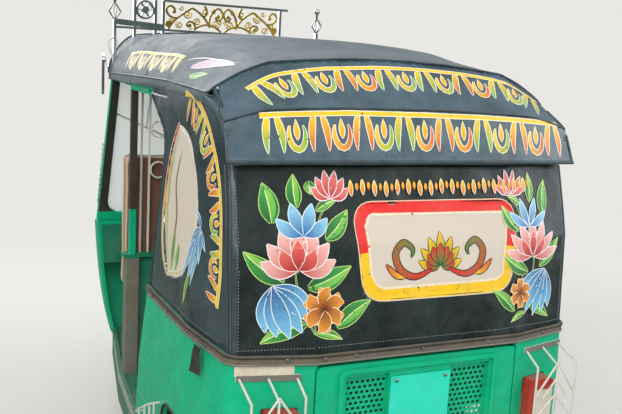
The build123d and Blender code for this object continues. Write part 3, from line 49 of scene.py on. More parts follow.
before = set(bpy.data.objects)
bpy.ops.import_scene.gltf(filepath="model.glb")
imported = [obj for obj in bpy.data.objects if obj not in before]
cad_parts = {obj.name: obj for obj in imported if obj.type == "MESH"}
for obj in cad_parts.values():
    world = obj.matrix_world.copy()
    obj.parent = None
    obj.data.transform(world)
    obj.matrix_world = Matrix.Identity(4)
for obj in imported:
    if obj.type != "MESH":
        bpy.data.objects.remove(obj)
log = logging.getLogger("rickshaw")

MM = 0.001
SIDES = ((1, "left"), (-1, "right"))


def linear(code: str) -> tuple[float, float, float, float]:
    """Turn an sRGB hex colour into opaque linear light."""
    parts = [int(code[i : i + 2], 16) / 255 for i in (0, 2, 4)]
    return (*[p / 12.92 if p <= 0.04045 else ((p + 0.055) / 1.055) ** 2.4 for p in parts], 1.0)


def add_node(tree: Tree, kind: str, settings: dict | None = None, links: dict | None = None) -> Node:
    """Add one shader node, set its values and join its inputs.

    Args:
        tree: The material's or world's node tree.
        kind: The node's type without the word ShaderNode.
        settings: Node attributes or unlinked input values by name; "ramp" takes (place, colour) pairs.
        links: Input name or number to the socket that feeds it, or to a node whose first output does.

    Returns:
        The new node.
    """
    node = tree.nodes.new("ShaderNode" + kind)
    for name, value in (settings or {}).items():
        if name == "ramp":
            stops = node.color_ramp.elements
            while len(stops) < len(value):
                stops.new(0.5)
            for stop, (place, code) in zip(stops, value):
                stop.position = place
                stop.color = linear(code)
        elif isinstance(name, str) and hasattr(node, name):
            setattr(node, name, value)
        else:
            node.inputs[name].default_value = value
    for name, source in (links or {}).items():
        tree.links.new(source.outputs[0] if isinstance(source, Node) else source, node.inputs[name])
    return node


class Grain(Enum):
    """How a surface was made, as the detail in the noise of its bump; pebbled skins take cells."""

    SMOOTH = 2.0
    PEBBLED = 0.0
    BRUSHED = 3.0
    CAST = 8.0


@dataclass(frozen=True)
class Finish:
    """A surface of two mottled tones under dust that gathers low, with wear spots and a grain in its bump.

    Colours are sRGB hex and lengths are millimetres. spread is how far the roughness drifts, mottle the size of the
    second tone's clouds, wear the spots' colour, share and size, dust its share and the height up to which it thins
    out, grain its kind, size and depth, and dents their size and depth.
    """

    name: str
    base: str
    tone: str
    roughness: float = 0.45
    spread: float = 0.12
    mottle: float = 90.0
    mottle_share: float = 0.5
    wear: tuple[str, float, float] = ("6E6A60", 0.0, 14.0)
    dust: Point = (0.25, 900.0)
    dust_code: str = "9A8C76"
    grain: tuple[Grain, float, float] = (Grain.SMOOTH, 2.0, 0.05)
    dents: Point = (240.0, 0.0)
    metallic: float = 0.0
    coat: float = 0.0
    specular: float = 0.5
    transmission: float = 0.0
    alpha: float = 1.0
    attribute: str = ""

    def build(self) -> bpy.types.Material:
        """Return the material for this finish, made once and shared after that."""
        known = bpy.data.materials.get(self.name)
        if known:
            return known
        material = bpy.data.materials.new(self.name)
        material.use_nodes = True
        tree = material.node_tree
        tree.nodes.clear()
        Shading(self, tree, add_node(tree, "TexCoord").outputs["Object"]).build()
        return material

    def dress(self, *objects: Piece) -> None:
        """Give this finish to whole objects."""
        for piece in objects:
            piece.data.materials.clear()
            piece.data.materials.append(self.build())


@dataclass(frozen=True)
class Shading:
    """The nodes of one finish in its material's tree, placed by the piece's Object coordinates."""

    look: Finish
    tree: Tree
    place: Socket

    def build(self) -> None:
        """Join colour, gloss and bump in one shader."""
        look, add = self.look, partial(add_node, self.tree)
        dusty = self.dust()
        colour = self.tones()
        for share, code in ((self.spots(), look.wear[0]), (dusty, look.dust_code)):
            colour = add("Mix", {"data_type": "RGBA", 7: linear(code)}, {"Factor": share, 6: colour}).outputs[2]
        values = {
            "Metallic": look.metallic, "Coat Weight": look.coat, "Coat Roughness": 0.12, "Alpha": look.alpha,
            "Specular IOR Level": look.specular, "Transmission Weight": look.transmission,
        }
        links = {"Base Color": colour, "Roughness": self.gloss(dusty), "Normal": self.bump()}
        add("OutputMaterial", links={"Surface": add("BsdfPrincipled", values, links)})

    def tones(self) -> Socket:
        """Mottle the two tones, or take the first from the piece's own colour attribute."""
        look, add = self.look, partial(add_node, self.tree)
        scale = 1 / (look.mottle * MM)
        cloud = add("TexNoise", {"Scale": scale, "Detail": 5.0, "Roughness": 0.6}, {"Vector": self.place})
        share = add("MapRange", {"From Min": 0.35, "From Max": 0.65, "To Max": look.mottle_share}, {"Value": cloud})
        links = {"Factor": share}
        if look.attribute:
            links[6] = add("Attribute", {"attribute_name": look.attribute}).outputs["Color"]
        return add("Mix", {"data_type": "RGBA", 6: linear(look.base), 7: linear(look.tone)}, links).outputs[2]

    def spots(self) -> Node:
        """Scatter ragged spots of wear over about a share of the surface; the value is 1 inside a spot."""
        add = partial(add_node, self.tree)
        _, share, size = self.look.wear
        fine = add("TexNoise", {"Scale": 1 / (size * MM), "Detail": 6.0, "Roughness": 0.68}, {"Vector": self.place})
        level = 0.78 - 0.34 * share
        limits = {"From Min": level, "From Max": level + 0.03, "To Max": 1.0 if share else 0.0}
        return add("MapRange", limits, {"Value": fine})

    def dust(self) -> Node:
        """Return the share of thin dust, which is densest near the ground and lies in patches."""
        add = partial(add_node, self.tree)
        share, top = self.look.dust
        height = add("SeparateXYZ", links={"Vector": self.place}).outputs["Z"]
        low = add("MapRange", {"From Min": top * MM, "From Max": 0.15, "To Min": 0.12}, {"Value": height})
        cloud = add("TexNoise", {"Scale": 14.0, "Detail": 8.0, "Roughness": 0.7}, {"Vector": self.place})
        patchy = add("MapRange", {"From Min": 0.35, "From Max": 0.7}, {"Value": cloud})
        both = add("Math", {"operation": "MULTIPLY"}, {0: low, 1: patchy})
        return add("Math", {"operation": "MULTIPLY", 1: share, "use_clamp": True}, {0: both})

    def gloss(self, dusty: Node) -> Node:
        """Return a roughness that drifts over the surface and rises under dust."""
        add = partial(add_node, self.tree)
        middle, half = self.look.roughness, self.look.spread / 2
        smear = add("TexNoise", {"Scale": 22.0, "Detail": 4.0, "Roughness": 0.6}, {"Vector": self.place})
        limits = {"From Min": 0.3, "From Max": 0.7, "To Min": middle - half, "To Max": middle + half}
        drift = add("MapRange", limits, {"Value": smear})
        return add("Math", {"operation": "MULTIPLY_ADD", 1: 0.5, "use_clamp": True}, {0: dusty, 2: drift})

    def bump(self) -> Node:
        """Return the normals of a fine grain, with broad dents under it where the sheet is thin."""
        add, place = partial(add_node, self.tree), self.place
        grain, size, depth = self.look.grain
        scale = 1 / (size * MM)
        if grain is Grain.PEBBLED:
            fine = add("TexVoronoi", {"feature": "SMOOTH_F1", "Scale": scale}, {"Vector": place})
        else:
            if grain is Grain.BRUSHED:
                place = add("Mapping", {"Scale": (1.0, 1.0, 0.04)}, {"Vector": place})
            fine = add("TexNoise", {"Scale": scale, "Detail": grain.value}, {"Vector": place})
        skin = add("Bump", {"Distance": depth * MM, "Strength": 1.0}, {"Height": fine})
        size, depth = self.look.dents
        if not depth:
            return skin
        broad = add("TexNoise", {"Scale": 1 / (size * MM), "Detail": 2.0, "Roughness": 0.4}, {"Vector": self.place})
        return add("Bump", {"Distance": depth * MM, "Strength": 1.0}, {"Height": broad, "Normal": skin})


# Pressed steel in brushed-on teal enamel: glossy, with soft dents, chips and road dust
ENAMEL = Finish(
    "teal_enamel", "00BA88", "00A37A", roughness=0.26, spread=0.14, mottle_share=0.6, specular=0.2,
    wear=("4A463C", 0.12, 9.0), dust=(0.16, 1000.0), grain=(Grain.SMOOTH, 6.0, 0.05), dents=(160.0, 2.2),
)
# The same enamel on inner panels, painted darker as the shade inside the cab, and worn more by hands
SHADED_INNER_ENAMEL = Finish(
    "shaded_inner_enamel", "0A8466", "07604A", roughness=0.4, wear=("2C2A24", 0.2, 14.0), dust=(0.5, 900.0),
    grain=(Grain.SMOOTH, 5.0, 0.05), dents=(200.0, 1.0),
)
# Coated hood cloth: a pebbled vinyl skin on canvas, slack between its bows
REXINE = Finish(
    "hood_rexine", "1C2B30", "334952", roughness=0.3, spread=0.18, mottle=160.0, mottle_share=0.7, dust_code="7C8589",
    specular=0.6, wear=("6F8088", 0.16, 5.0), dust=(0.35, 1900.0), grain=(Grain.PEBBLED, 3.0, 0.35),
    dents=(120.0, 4.0),
)
# The same cloth on the rear curtain, painted darker as the shade under the valance's lip
SHADED_REAR_REXINE = Finish(
    "shaded_rear_rexine", "131C1B", "222E2E", roughness=0.3, spread=0.2, mottle=150.0, mottle_share=0.8, dust_code="6F7A7A",
    wear=("7F8C90", 0.1, 4.0), dust=(0.24, 1500.0), grain=(Grain.PEBBLED, 3.0, 0.3), dents=(110.0, 6.0),
)
# The same cloth on the roof, painted lighter as a reflection of the sky on its top, and dusty
SKY_PAINTED_ROOF_REXINE = Finish(
    "sky_painted_roof_rexine", "525F68", "6E7C86", roughness=0.5, spread=0.2, mottle=220.0, mottle_share=0.8, dust_code="9AA1A2",
    specular=0.6, wear=("9AA4AA", 0.16, 7.0), dust=(0.5, 2400.0), grain=(Grain.PEBBLED, 3.0, 0.35), dents=(150.0, 5.0),
)
# The same cloth on the crown and the valance, painted lighter and bluer as the sky's reflection at a low angle
SKY_PAINTED_VALANCE_REXINE = Finish(
    "sky_painted_valance_rexine", "2A4049", "4A6878", roughness=0.28, spread=0.16, mottle=180.0, mottle_share=0.8,
    dust_code="86939A", specular=0.7, wear=("8795A0", 0.16, 6.0), dust=(0.4, 2400.0), grain=(Grain.PEBBLED, 3.0, 0.3),
    dents=(130.0, 4.0),
)
# Milky flexible window film, yellowed and scuffed
FILM = Finish(
    "window_film", "857357", "98866B", roughness=0.34, spread=0.2, mottle=70.0, mottle_share=0.8,
    wear=("CFC8B8", 0.25, 22.0), dust=(0.4, 1800.0), grain=(Grain.SMOOTH, 30.0, 0.4), dents=(90.0, 2.0),
)
# Toughened glass with a film of dust
SCREEN_GLASS = Finish(
    "screen_glass", "DCE6E4", "C9D4D2", roughness=0.04, spread=0.04, transmission=1.0, alpha=0.55, dust=(0.25, 2000.0),
    grain=(Grain.SMOOTH, 200.0, 0.05),
)
# Bright plated steel, pitted where the plating has gone
CHROME = Finish(
    "plated_steel", "D9DADC", "BFC3C8", roughness=0.12, spread=0.1, metallic=1.0, mottle=30.0,
    wear=("7A5A3C", 0.22, 5.0), dust=(0.25, 2000.0), grain=(Grain.SMOOTH, 4.0, 0.05),
)
# Gilded casting, rubbed and tarnished
GILT = Finish(
    "gilt_casting", "E0BC48", "B08A2C", roughness=0.26, spread=0.14, metallic=1.0, mottle=18.0,
    wear=("5C4826", 0.25, 6.0), dust=(0.1, 900.0), grain=(Grain.CAST, 5.0, 0.4),
)
# White enamel on thin rods, chipped to rust
WHITE_ENAMEL = Finish(
    "white_enamel", "E6E4DC", "CFCBBE", roughness=0.35, mottle=40.0, wear=("8A5A3A", 0.2, 4.0), dust=(0.5, 1600.0),
    grain=(Grain.SMOOTH, 3.0, 0.05),
)
# Moulded acrylic lamp, red
RED_LENS = Finish(
    "red_acrylic", "C41414", "9C0C0C", roughness=0.14, mottle=40.0, coat=0.6, dust=(0.45, 1100.0),
    grain=(Grain.BRUSHED, 5.0, 0.3),
)
# Moulded clear acrylic over a reflector
CLEAR_LENS = Finish(
    "clear_acrylic", "E9E4D8", "D8D0BE", roughness=0.12, mottle=30.0, coat=0.6, dust=(0.4, 1100.0),
    grain=(Grain.BRUSHED, 6.0, 0.4),
)
# Cured rubber, greyed by the road
TYRE_RUBBER = Finish(
    "tyre_rubber", "23221F", "35322D", roughness=0.82, mottle=50.0, dust_code="8C7C66", dust=(0.75, 500.0),
    grain=(Grain.CAST, 3.0, 0.2),
)
# Silver stoved enamel on the pressed wheels
WHEEL_ENAMEL = Finish(
    "wheel_enamel", "B9BBB8", "9EA19E", roughness=0.38, metallic=0.4, wear=("6B4A34", 0.24, 7.0), dust=(0.8, 520.0),
    grain=(Grain.SMOOTH, 4.0, 0.08),
)
# Black chassis paint under road dust
CHASSIS_BLACK = Finish(
    "chassis_black", "1B1B1A", "2A2824", roughness=0.5, wear=("6A4630", 0.22, 10.0), dust=(0.8, 700.0),
    grain=(Grain.CAST, 6.0, 0.2),
)
# Sand-cast aluminium, oily
CAST_ALUMINIUM = Finish(
    "cast_aluminium", "8A8880", "5E5A50", roughness=0.5, metallic=0.7, mottle=60.0, wear=("2E2820", 0.35, 24.0),
    dust=(0.6, 700.0), grain=(Grain.CAST, 3.0, 0.3),
)
# Rolled steel silencer, blued and rusted by heat
HOT_STEEL = Finish(
    "heat_stained_steel", "6E5A4C", "4A3A32", roughness=0.55, metallic=0.8, mottle=40.0, wear=("8A4A28", 0.4, 16.0),
    dust=(0.5, 900.0), grain=(Grain.CAST, 4.0, 0.2),
)
# Dark brown upholstery vinyl, with the brown darkened a little further as painted shade for the dim cab
BROWN_VINYL = Finish(
    "brown_vinyl", "2C120C", "1E0C08", roughness=0.46, mottle=120.0, wear=("7A5040", 0.08, 6.0), dust=(0.2, 1500.0),
    grain=(Grain.PEBBLED, 2.2, 0.25),
)
# Aluminium trim strip gone dull, with road dirt in it
TRIM_STRIP = Finish(
    "weathered_trim", "6E6456", "4E473C", roughness=0.6, mottle=26.0, wear=("A79C88", 0.35, 12.0), dust=(0.5, 1200.0),
    grain=(Grain.CAST, 7.0, 0.4), dents=(60.0, 2.0),
)
# Moulded rubber grips and seals
MOULDED_RUBBER = Finish(
    "moulded_rubber", "1C1B1A", "2B2A28", roughness=0.66, dust=(0.4, 1200.0), grain=(Grain.CAST, 2.0, 0.12),
)
# Sign-painter's gloss enamel brushed on the hood, cracked and flaked where the cloth flexes
BRUSHED_PAINT = Finish(
    "brushed_paint", "FFFFFF", "2A2A26", roughness=0.34, mottle=26.0, mottle_share=0.12, dust_code="7C8589",
    attribute="paint", wear=("27343A", 0.42, 13.0), dust=(0.22, 1900.0), grain=(Grain.SMOOTH, 7.0, 0.25),
)
# Vinyl-covered welt cord in the hood's seams
WELT = Finish(
    "vinyl_welt", "2A373B", "45565E", roughness=0.34, mottle=60.0, dust_code="7C8589", specular=0.6,
    wear=("93A0A6", 0.2, 6.0), dust=(0.3, 1900.0), grain=(Grain.SMOOTH, 3.0, 0.1),
)
# Cream vinyl welt sewn round the brown seats
PALE_WELT = Finish(
    "cream_welt", "CDBFA4", "B5A68A", roughness=0.5, mottle=40.0, wear=("7A6A54", 0.2, 6.0), dust=(0.3, 1500.0),
    grain=(Grain.SMOOTH, 3.0, 0.1),
)
# Zinc-plated bolts and rivets, dulled and rust-specked
BRIGHT_ZINC = Finish(
    "zinc_plate", "B9B7AE", "94928A", roughness=0.34, metallic=1.0, mottle=12.0, wear=("7A4E30", 0.25, 5.0),
    dust=(0.4, 1000.0), grain=(Grain.SMOOTH, 3.0, 0.05),
)
# Turquoise number plate paint on aluminium, bleached and scratched
PLATE_PAINT = Finish(
    "plate_paint", "00DDBC", "14E8CA", roughness=0.36, mottle=50.0, wear=("0B9C86", 0.16, 12.0), dust=(0.3, 1000.0),
    grain=(Grain.SMOOTH, 20.0, 0.1),
)
# Off-white paint on a tin label, its print gone and rust at its screws
LABEL_PAINT = Finish(
    "label_paint", "E4DCCB", "CDBFA8", roughness=0.5, mottle=30.0, mottle_share=0.8, wear=("A0583A", 0.34, 16.0),
    dust=(0.5, 1200.0), grain=(Grain.SMOOTH, 8.0, 0.1),
)
# Amber acrylic of the indicators
AMBER_LENS = Finish(
    "amber_acrylic", "E88A14", "C86E0A", roughness=0.14, mottle=30.0, coat=0.6, dust=(0.4, 1100.0),
    grain=(Grain.BRUSHED, 5.0, 0.3),
)
# Grey sewing thread
THREAD = Finish(
    "hem_thread", "A9B0B2", "7E878B", roughness=0.8, mottle=12.0, dust=(0.3, 1900.0), grain=(Grain.SMOOTH, 1.0, 0.1),
)
# Vinyl tape wound on the pillars' tubes
PILLAR_WRAP = Finish(
    "pillar_wrap", "3B302B", "29211E", roughness=0.55, mottle=40.0, wear=("6A5F57", 0.3, 8.0), dust=(0.3, 1700.0),
    grain=(Grain.SMOOTH, 4.0, 0.2),
)
# Aluminium wear strip, scuffed grey by hands and feet
WORN_STRIP = Finish(
    "worn_strip", "8A887E", "6A675D", roughness=0.55, metallic=0.35, mottle=45.0, wear=("3A3833", 0.3, 7.0),
    dust=(0.5, 1000.0), grain=(Grain.BRUSHED, 5.0, 0.2), dents=(90.0, 1.0),
)
# Pale aluminium strip along the sills, scraped by shoes
SILL_STRIP = Finish(
    "sill_strip", "BDBEB8", "9C9D96", roughness=0.5, metallic=0.3, mottle=60.0, wear=("5C5A52", 0.25, 9.0),
    dust=(0.4, 1000.0), grain=(Grain.BRUSHED, 5.0, 0.2),
)
# Beige vinyl on the sides of the driver's backrest
BEIGE_VINYL = Finish(
    "beige_vinyl", "B5917A", "A07F69", roughness=0.5, mottle=60.0, wear=("6E5546", 0.2, 7.0), dust=(0.3, 1500.0),
    grain=(Grain.PEBBLED, 2.2, 0.25),
)
# Silvered glass of the mirrors
MIRROR_GLASS = Finish(
    "mirror_glass", "E6EAEC", "DDE2E4", roughness=0.04, spread=0.03, metallic=1.0, dust=(0.2, 2000.0),
    grain=(Grain.SMOOTH, 200.0, 0.02),
)

NODE_FINISHES: dict[Finish, tuple[str, ...]] = {
    ENAMEL: (
        "quarter_panel_left", "quarter_panel_right", "rear_panel", "engine_lid", "lid_grilles", "front_apron",
        "windscreen_frame", "front_mudguard", "hood_frame", "door_arches",
    ),
    SHADED_INNER_ENAMEL: (
        "steering_head", "floor_pan", "dashboard", "partition_panel", "driver_seat_box", "bench",
    ),
    REXINE: (
        "canopy_roof", "canopy_crown_band", "canopy_valance", "side_curtain_left", "side_curtain_right",
        "rear_curtain",
    ),
    FILM: ("rear_window", "side_windows"),
    SCREEN_GLASS: ("windscreen_glass",),
    CHROME: ("headlamp", "mirrors", "crown_rack"),
    GILT: ("crown_scrolls",),
    WHITE_ENAMEL: ("partition_cage", "tail_guards", "arch_guards"),
    RED_LENS: ("tail_lamps",),
    CLEAR_LENS: ("front_lenses",),
    TYRE_RUBBER: ("front_tyre", "rear_left_tyre", "rear_right_tyre"),
    WHEEL_ENAMEL: ("front_rim", "rear_left_rim", "rear_right_rim"),
    CHASSIS_BLACK: (
        "front_fork", "front_dampers", "chassis", "cross_members", "trailing_arms", "half_shafts", "rear_dampers",
        "rear_bumper",
    ),
    CAST_ALUMINIUM: ("engine",),
    HOT_STEEL: ("exhaust",),
    BROWN_VINYL: ("driver_cushion", "driver_backrest", "passenger_cushion", "passenger_backrest"),
    TRIM_STRIP: ("belt_strip",),
    MOULDED_RUBBER: ("handlebar",),
}


@dataclass
class Studio:
    """Pale floor, soft lamps and the camera at the photograph's place."""

    place: Place = (1.4135, 3.3533, 1.7255)
    turn: float = 26.20
    dip: float = 10.77
    roll: float = 3.38
    focal: float = 867.0
    centre: Point = (315.6, 220.5)
    picture: tuple[int, int] = (622, 414)
    sensor: float = 36.0
    floor_size: float = 60.0
    backdrop: str = "E9E8E4"
    lamps: tuple[tuple[str, Place, float, float, str], ...] = (
        ("key_lamp", (3.4, 4.2, 4.6), 4.4, 250.0, "FFFCF6"),
        ("fill_lamp", (-4.6, 3.0, 3.0), 4.0, 130.0, "F4F8FF"),
        ("front_lamp", (0.6, -5.0, 3.4), 4.0, 130.0, "FFFFFF"),
    )

    def camera(self) -> None:
        """Set the camera where the photograph was taken from."""
        turn, dip, roll = (math.radians(a) for a in (self.turn, self.dip, self.roll))
        level = Vector((-math.sin(turn), -math.cos(turn), 0))
        side = Vector((-math.cos(turn), math.sin(turn), 0))
        ahead = level * math.cos(dip) - Vector((0, 0, 1)) * math.sin(dip)
        over = Vector((0, 0, 1)) * math.cos(dip) + level * math.sin(dip)
        right = side * math.cos(roll) + over * math.sin(roll)
        top = over * math.cos(roll) - side * math.sin(roll)
        data = bpy.data.cameras.new("photo_camera")
        data.sensor_width = self.sensor
        data.lens = self.focal * self.sensor / self.picture[0]
        data.shift_x = (self.picture[0] / 2 - self.centre[0]) / self.picture[0]
        data.shift_y = (self.centre[1] - self.picture[1] / 2) / self.picture[0]
        data.clip_end = 200.0
        camera = bpy.data.objects.new("photo_camera", data)
        matrix = Matrix((right, top, -ahead)).transposed().to_4x4()
        matrix.translation = Vector(self.place)
        camera.matrix_world = matrix
        bpy.context.scene.collection.objects.link(camera)
        bpy.context.scene.camera = camera

    def hang(self) -> None:
        """Hang the square soft lamps, which look at the middle of the vehicle."""
        for name, place, size, watts, code in self.lamps:
            data = bpy.data.lights.new(name, "AREA")
            data.size = size
            data.energy = watts
            data.color = linear(code)[:3]
            lamp = bpy.data.objects.new(name, data)
            lamp.location = place
            lamp.rotation_euler = (Vector((0, 0.2, 0.9)) - Vector(place)).to_track_quat("-Z", "Y").to_euler()
            bpy.context.scene.collection.objects.link(lamp)

    def world(self) -> None:
        """Light the scene evenly, mirror a field under a sky and show a pale backdrop to the camera."""
        world = bpy.data.worlds.new("studio")
        bpy.context.scene.world = world
        world.use_nodes = True
        world.node_tree.nodes.clear()
        add = partial(add_node, world.node_tree)
        rays = add("LightPath").outputs
        seen = add("Math", {"operation": "MAXIMUM"}, {0: rays["Is Camera Ray"], 1: rays["Is Transmission Ray"]})
        way = add("SeparateXYZ", links={"Vector": add("TexCoord").outputs["Generated"]})
        height = add("MapRange", {"From Min": -1.0}, {"Value": way.outputs["Z"]})
        shades = []
        for strength, ramp in (
            (0.62, [(0.42, "8A948A"), (0.54, "BCC4C2"), (0.74, "F4F6F8")]),
            (0.7, [(0.46, "3C5044"), (0.58, "8E9E9A"), (0.78, "F4F6F8")]),
        ):
            sky = add("ValToRGB", {"ramp": ramp}, {"Fac": height})
            shades.append(add("Background", {"Strength": strength}, {"Color": sky}))
        shown = add("Background", {"Color": linear(self.backdrop), "Strength": 1.0})
        lit = add("MixShader", links={0: rays["Is Glossy Ray"], 1: shades[0], 2: shades[1]})
        add("OutputWorld", links={"Surface": add("MixShader", links={0: seen, 1: lit, 2: shown})})

    def floor(self) -> None:
        """Lay the pale floor that takes the vehicle's shadow."""
        shape = bmesh.new()
        bmesh.ops.create_grid(shape, x_segments=2, y_segments=2, size=self.floor_size / 2)
        data = bpy.data.meshes.new("studio_floor")
        shape.to_mesh(data)
        shape.free()
        floor = bpy.data.objects.new("studio_floor", data)
        bpy.context.scene.collection.objects.link(floor)
        paint = Finish(
            "floor_paint", "DEDCD6", "D8D6D0", roughness=0.7, mottle=900.0, mottle_share=0.4, dust=(0.0, 900.0),
            grain=(Grain.SMOOTH, 4.0, 0.02),
        )
        paint.dress(floor)
        self.fade(floor.data.materials[0].node_tree)

    def fade(self, tree: Tree) -> None:
        """Let the floor melt into the backdrop away from the vehicle, and mirror as a field in gloss paint.

        Args:
            tree: Node tree of the floor's material.
        """
        add = partial(add_node, tree)
        output = next(node for node in tree.nodes if node.bl_idname == "ShaderNodeOutputMaterial")
        painted = output.inputs["Surface"].links[0].from_socket
        reach = add("VectorMath", {"operation": "LENGTH"}, {0: add("TexCoord").outputs["Object"]}).outputs["Value"]
        smooth = {"interpolation_type": "SMOOTHSTEP", "From Min": 1.5, "From Max": 5.0}
        rays = add("LightPath").outputs
        far = add("MapRange", smooth, {"Value": reach})
        share = add("Math", {"operation": "MULTIPLY"}, {0: far, 1: rays["Is Camera Ray"]})
        glow = add("Emission", {"Color": linear(self.backdrop), "Strength": 1.0})
        faded = add("MixShader", links={0: share, 1: painted, 2: glow})
        field = add("BsdfDiffuse", {"Color": linear("4C6450")})
        mirrored = add("Math", {"operation": "MULTIPLY", 1: 0.8}, {0: rays["Is Glossy Ray"]})
        whole = add("MixShader", links={0: mirrored, 1: faded, 2: field})
        tree.links.new(whole.outputs[0], output.inputs["Surface"])

    def build(self) -> None:
        """Set up camera, lamps, world and floor."""
        bpy.context.scene.view_settings.view_transform = "Standard"
        self.camera()
        self.hang()
        self.world()
        self.floor()


def flip(points: Iterable[Place], sign: int) -> list[Place]:
    """Return points given for the left side, or their mirror images where sign is -1."""
    return [(sign * x, y, z) for x, y, z in points]


def joined(*meshes: bpy.types.Mesh) -> Mesh:
    """Copy meshes into one bmesh."""
    shape = bmesh.new()
    for data in meshes:
        shape.from_mesh(data)
    return shape


def merged(node: str) -> Mesh:
    """Copy a frame node into a bmesh in metres, with its loose triangles joined."""
    shape = joined(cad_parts[node].data)
    bmesh.ops.remove_doubles(shape, verts=shape.verts, dist=0.02 * MM)
    shape.normal_update()
    return shape


def surface(shape: Mesh) -> BVHTree:
    """Turn a bmesh, which is freed here, into a surface that beads, stitches and paint are laid on."""
    tree = BVHTree.FromBMesh(shape)
    shape.free()
    return tree


def cut(shape: Mesh, place: Vector, facing: Vector) -> None:
    """Cut a whole mesh along the plane through a place in metres."""
    bmesh.ops.bisect_plane(
        shape, geom=[*shape.verts, *shape.edges, *shape.faces], dist=0.01 * MM, plane_co=place, plane_no=facing
    )


def slice_up(shape: Mesh, steps: Place) -> None:
    """Cut a mesh by planes square to each axis, so that its faces are fine enough to bend.

    Args:
        shape: The mesh that is cut.
        steps: Distance between the planes along X, Y and Z in millimetres; 0 leaves that axis alone.
    """
    for axis, step in enumerate(steps):
        if not step or not shape.verts:
            continue
        places = [v.co[axis] for v in shape.verts]
        facing = Vector((axis == 0, axis == 1, axis == 2))
        place = math.floor(min(places) / (step * MM)) + 0.5
        while place * step * MM < max(places):
            cut(shape, facing * (place * step * MM), facing)
            place += 1


def make_piece(
    name: str, shape: Mesh, finish: Finish, slot: str = "", body: str = "body", smooth: bool = True
) -> Piece:
    """Turn a finished bmesh into an object that rides on a body.

    Args:
        name: The piece's name.
        shape: Its bmesh, in place and in metres, which is freed here.
        finish: Its finish.
        slot: The material slot in model.json; not used.
        body: The body that carries it.
        smooth: Whether its faces are shaded smooth.

    Returns:
        The new object.
    """
    data = bpy.data.meshes.new(name)
    shape.normal_update()
    shape.to_mesh(data)
    shape.free()
    data.polygons.foreach_set("use_smooth", [smooth] * len(data.polygons))
    piece = bpy.data.objects.new(name, data)
    bpy.context.scene.collection.objects.link(piece)
    finish.dress(piece)
    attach(piece, body)
    log.info("%s: %d faces", name, len(data.polygons))
    return piece


def thicken(piece: Piece, millimetres: float, offset: float = -1.0) -> None:
    """Give a skin its thickness, inwards unless offset says otherwise."""
    modifier = piece.modifiers.new("thickness", "SOLIDIFY")
    modifier.thickness = millimetres * MM
    modifier.offset = offset


def bend(points: list[Place], closed: bool, kind: str = "POLY", radius: float = 0.0) -> bpy.types.Mesh:
    """Run a curve through points and return its mesh.

    Args:
        points: Control points in metres.
        closed: Whether the line runs round to its start.
        kind: POLY for straight runs, NURBS for a smooth line.
        radius: Radius of the tube round it in metres, or 0 for the bare line.

    Returns:
        The line or the tube.
    """
    curve = bpy.data.curves.new("bent_line", "CURVE")
    curve.dimensions = "3D"
    curve.bevel_depth = radius
    curve.bevel_resolution = 2
    curve.use_fill_caps = True
    line = curve.splines.new(kind)
    line.points.add(len(points) - 1)
    for knot, point in zip(line.points, points):
        knot.co = (*point, 1.0)
    line.order_u = 3
    line.use_endpoint_u = not closed
    line.use_cyclic_u = closed
    line.resolution_u = 10
    holder = bpy.data.objects.new("bent_line", curve)
    data = bpy.data.meshes.new_from_object(holder)
    bpy.data.objects.remove(holder)
    return data


def bead(
    name: str, points: list[Place], radius: float, finish: Finish, slot: str = "", onto: BVHTree | None = None,
    lift: float = 0.0, closed: bool = False,
) -> Piece:
    """Bend a round bead along a smooth line through points, laid on a surface where one is given.

    Args:
        name: The piece's name.
        points: Control points in metres.
        radius: The bead's radius in millimetres.
        finish: Its finish.
        slot: Its material slot.
        onto: Surface that the line is pressed on.
        lift: Height of the bead's middle over that surface in millimetres.
        closed: Whether the line runs round to its start.

    Returns:
        The new object.
    """
    route = [v.co.copy() for v in bend(points, closed, "NURBS").vertices]
    if onto:
        for k, place in enumerate(route):
            spot, normal, _, _ = onto.find_nearest(place)
            route[k] = spot + normal * lift * MM
    shape = joined(bend(route, closed, radius=radius * MM))
    bmesh.ops.recalc_face_normals(shape, faces=shape.faces)
    return make_piece(name, shape, finish, slot)


class Outside(Enum):
    """Which way is outwards on a skin."""

    FIXED = "one direction"
    ROUND = "away from a line along the cabin"
    SIDEWAYS = "away from the middle"


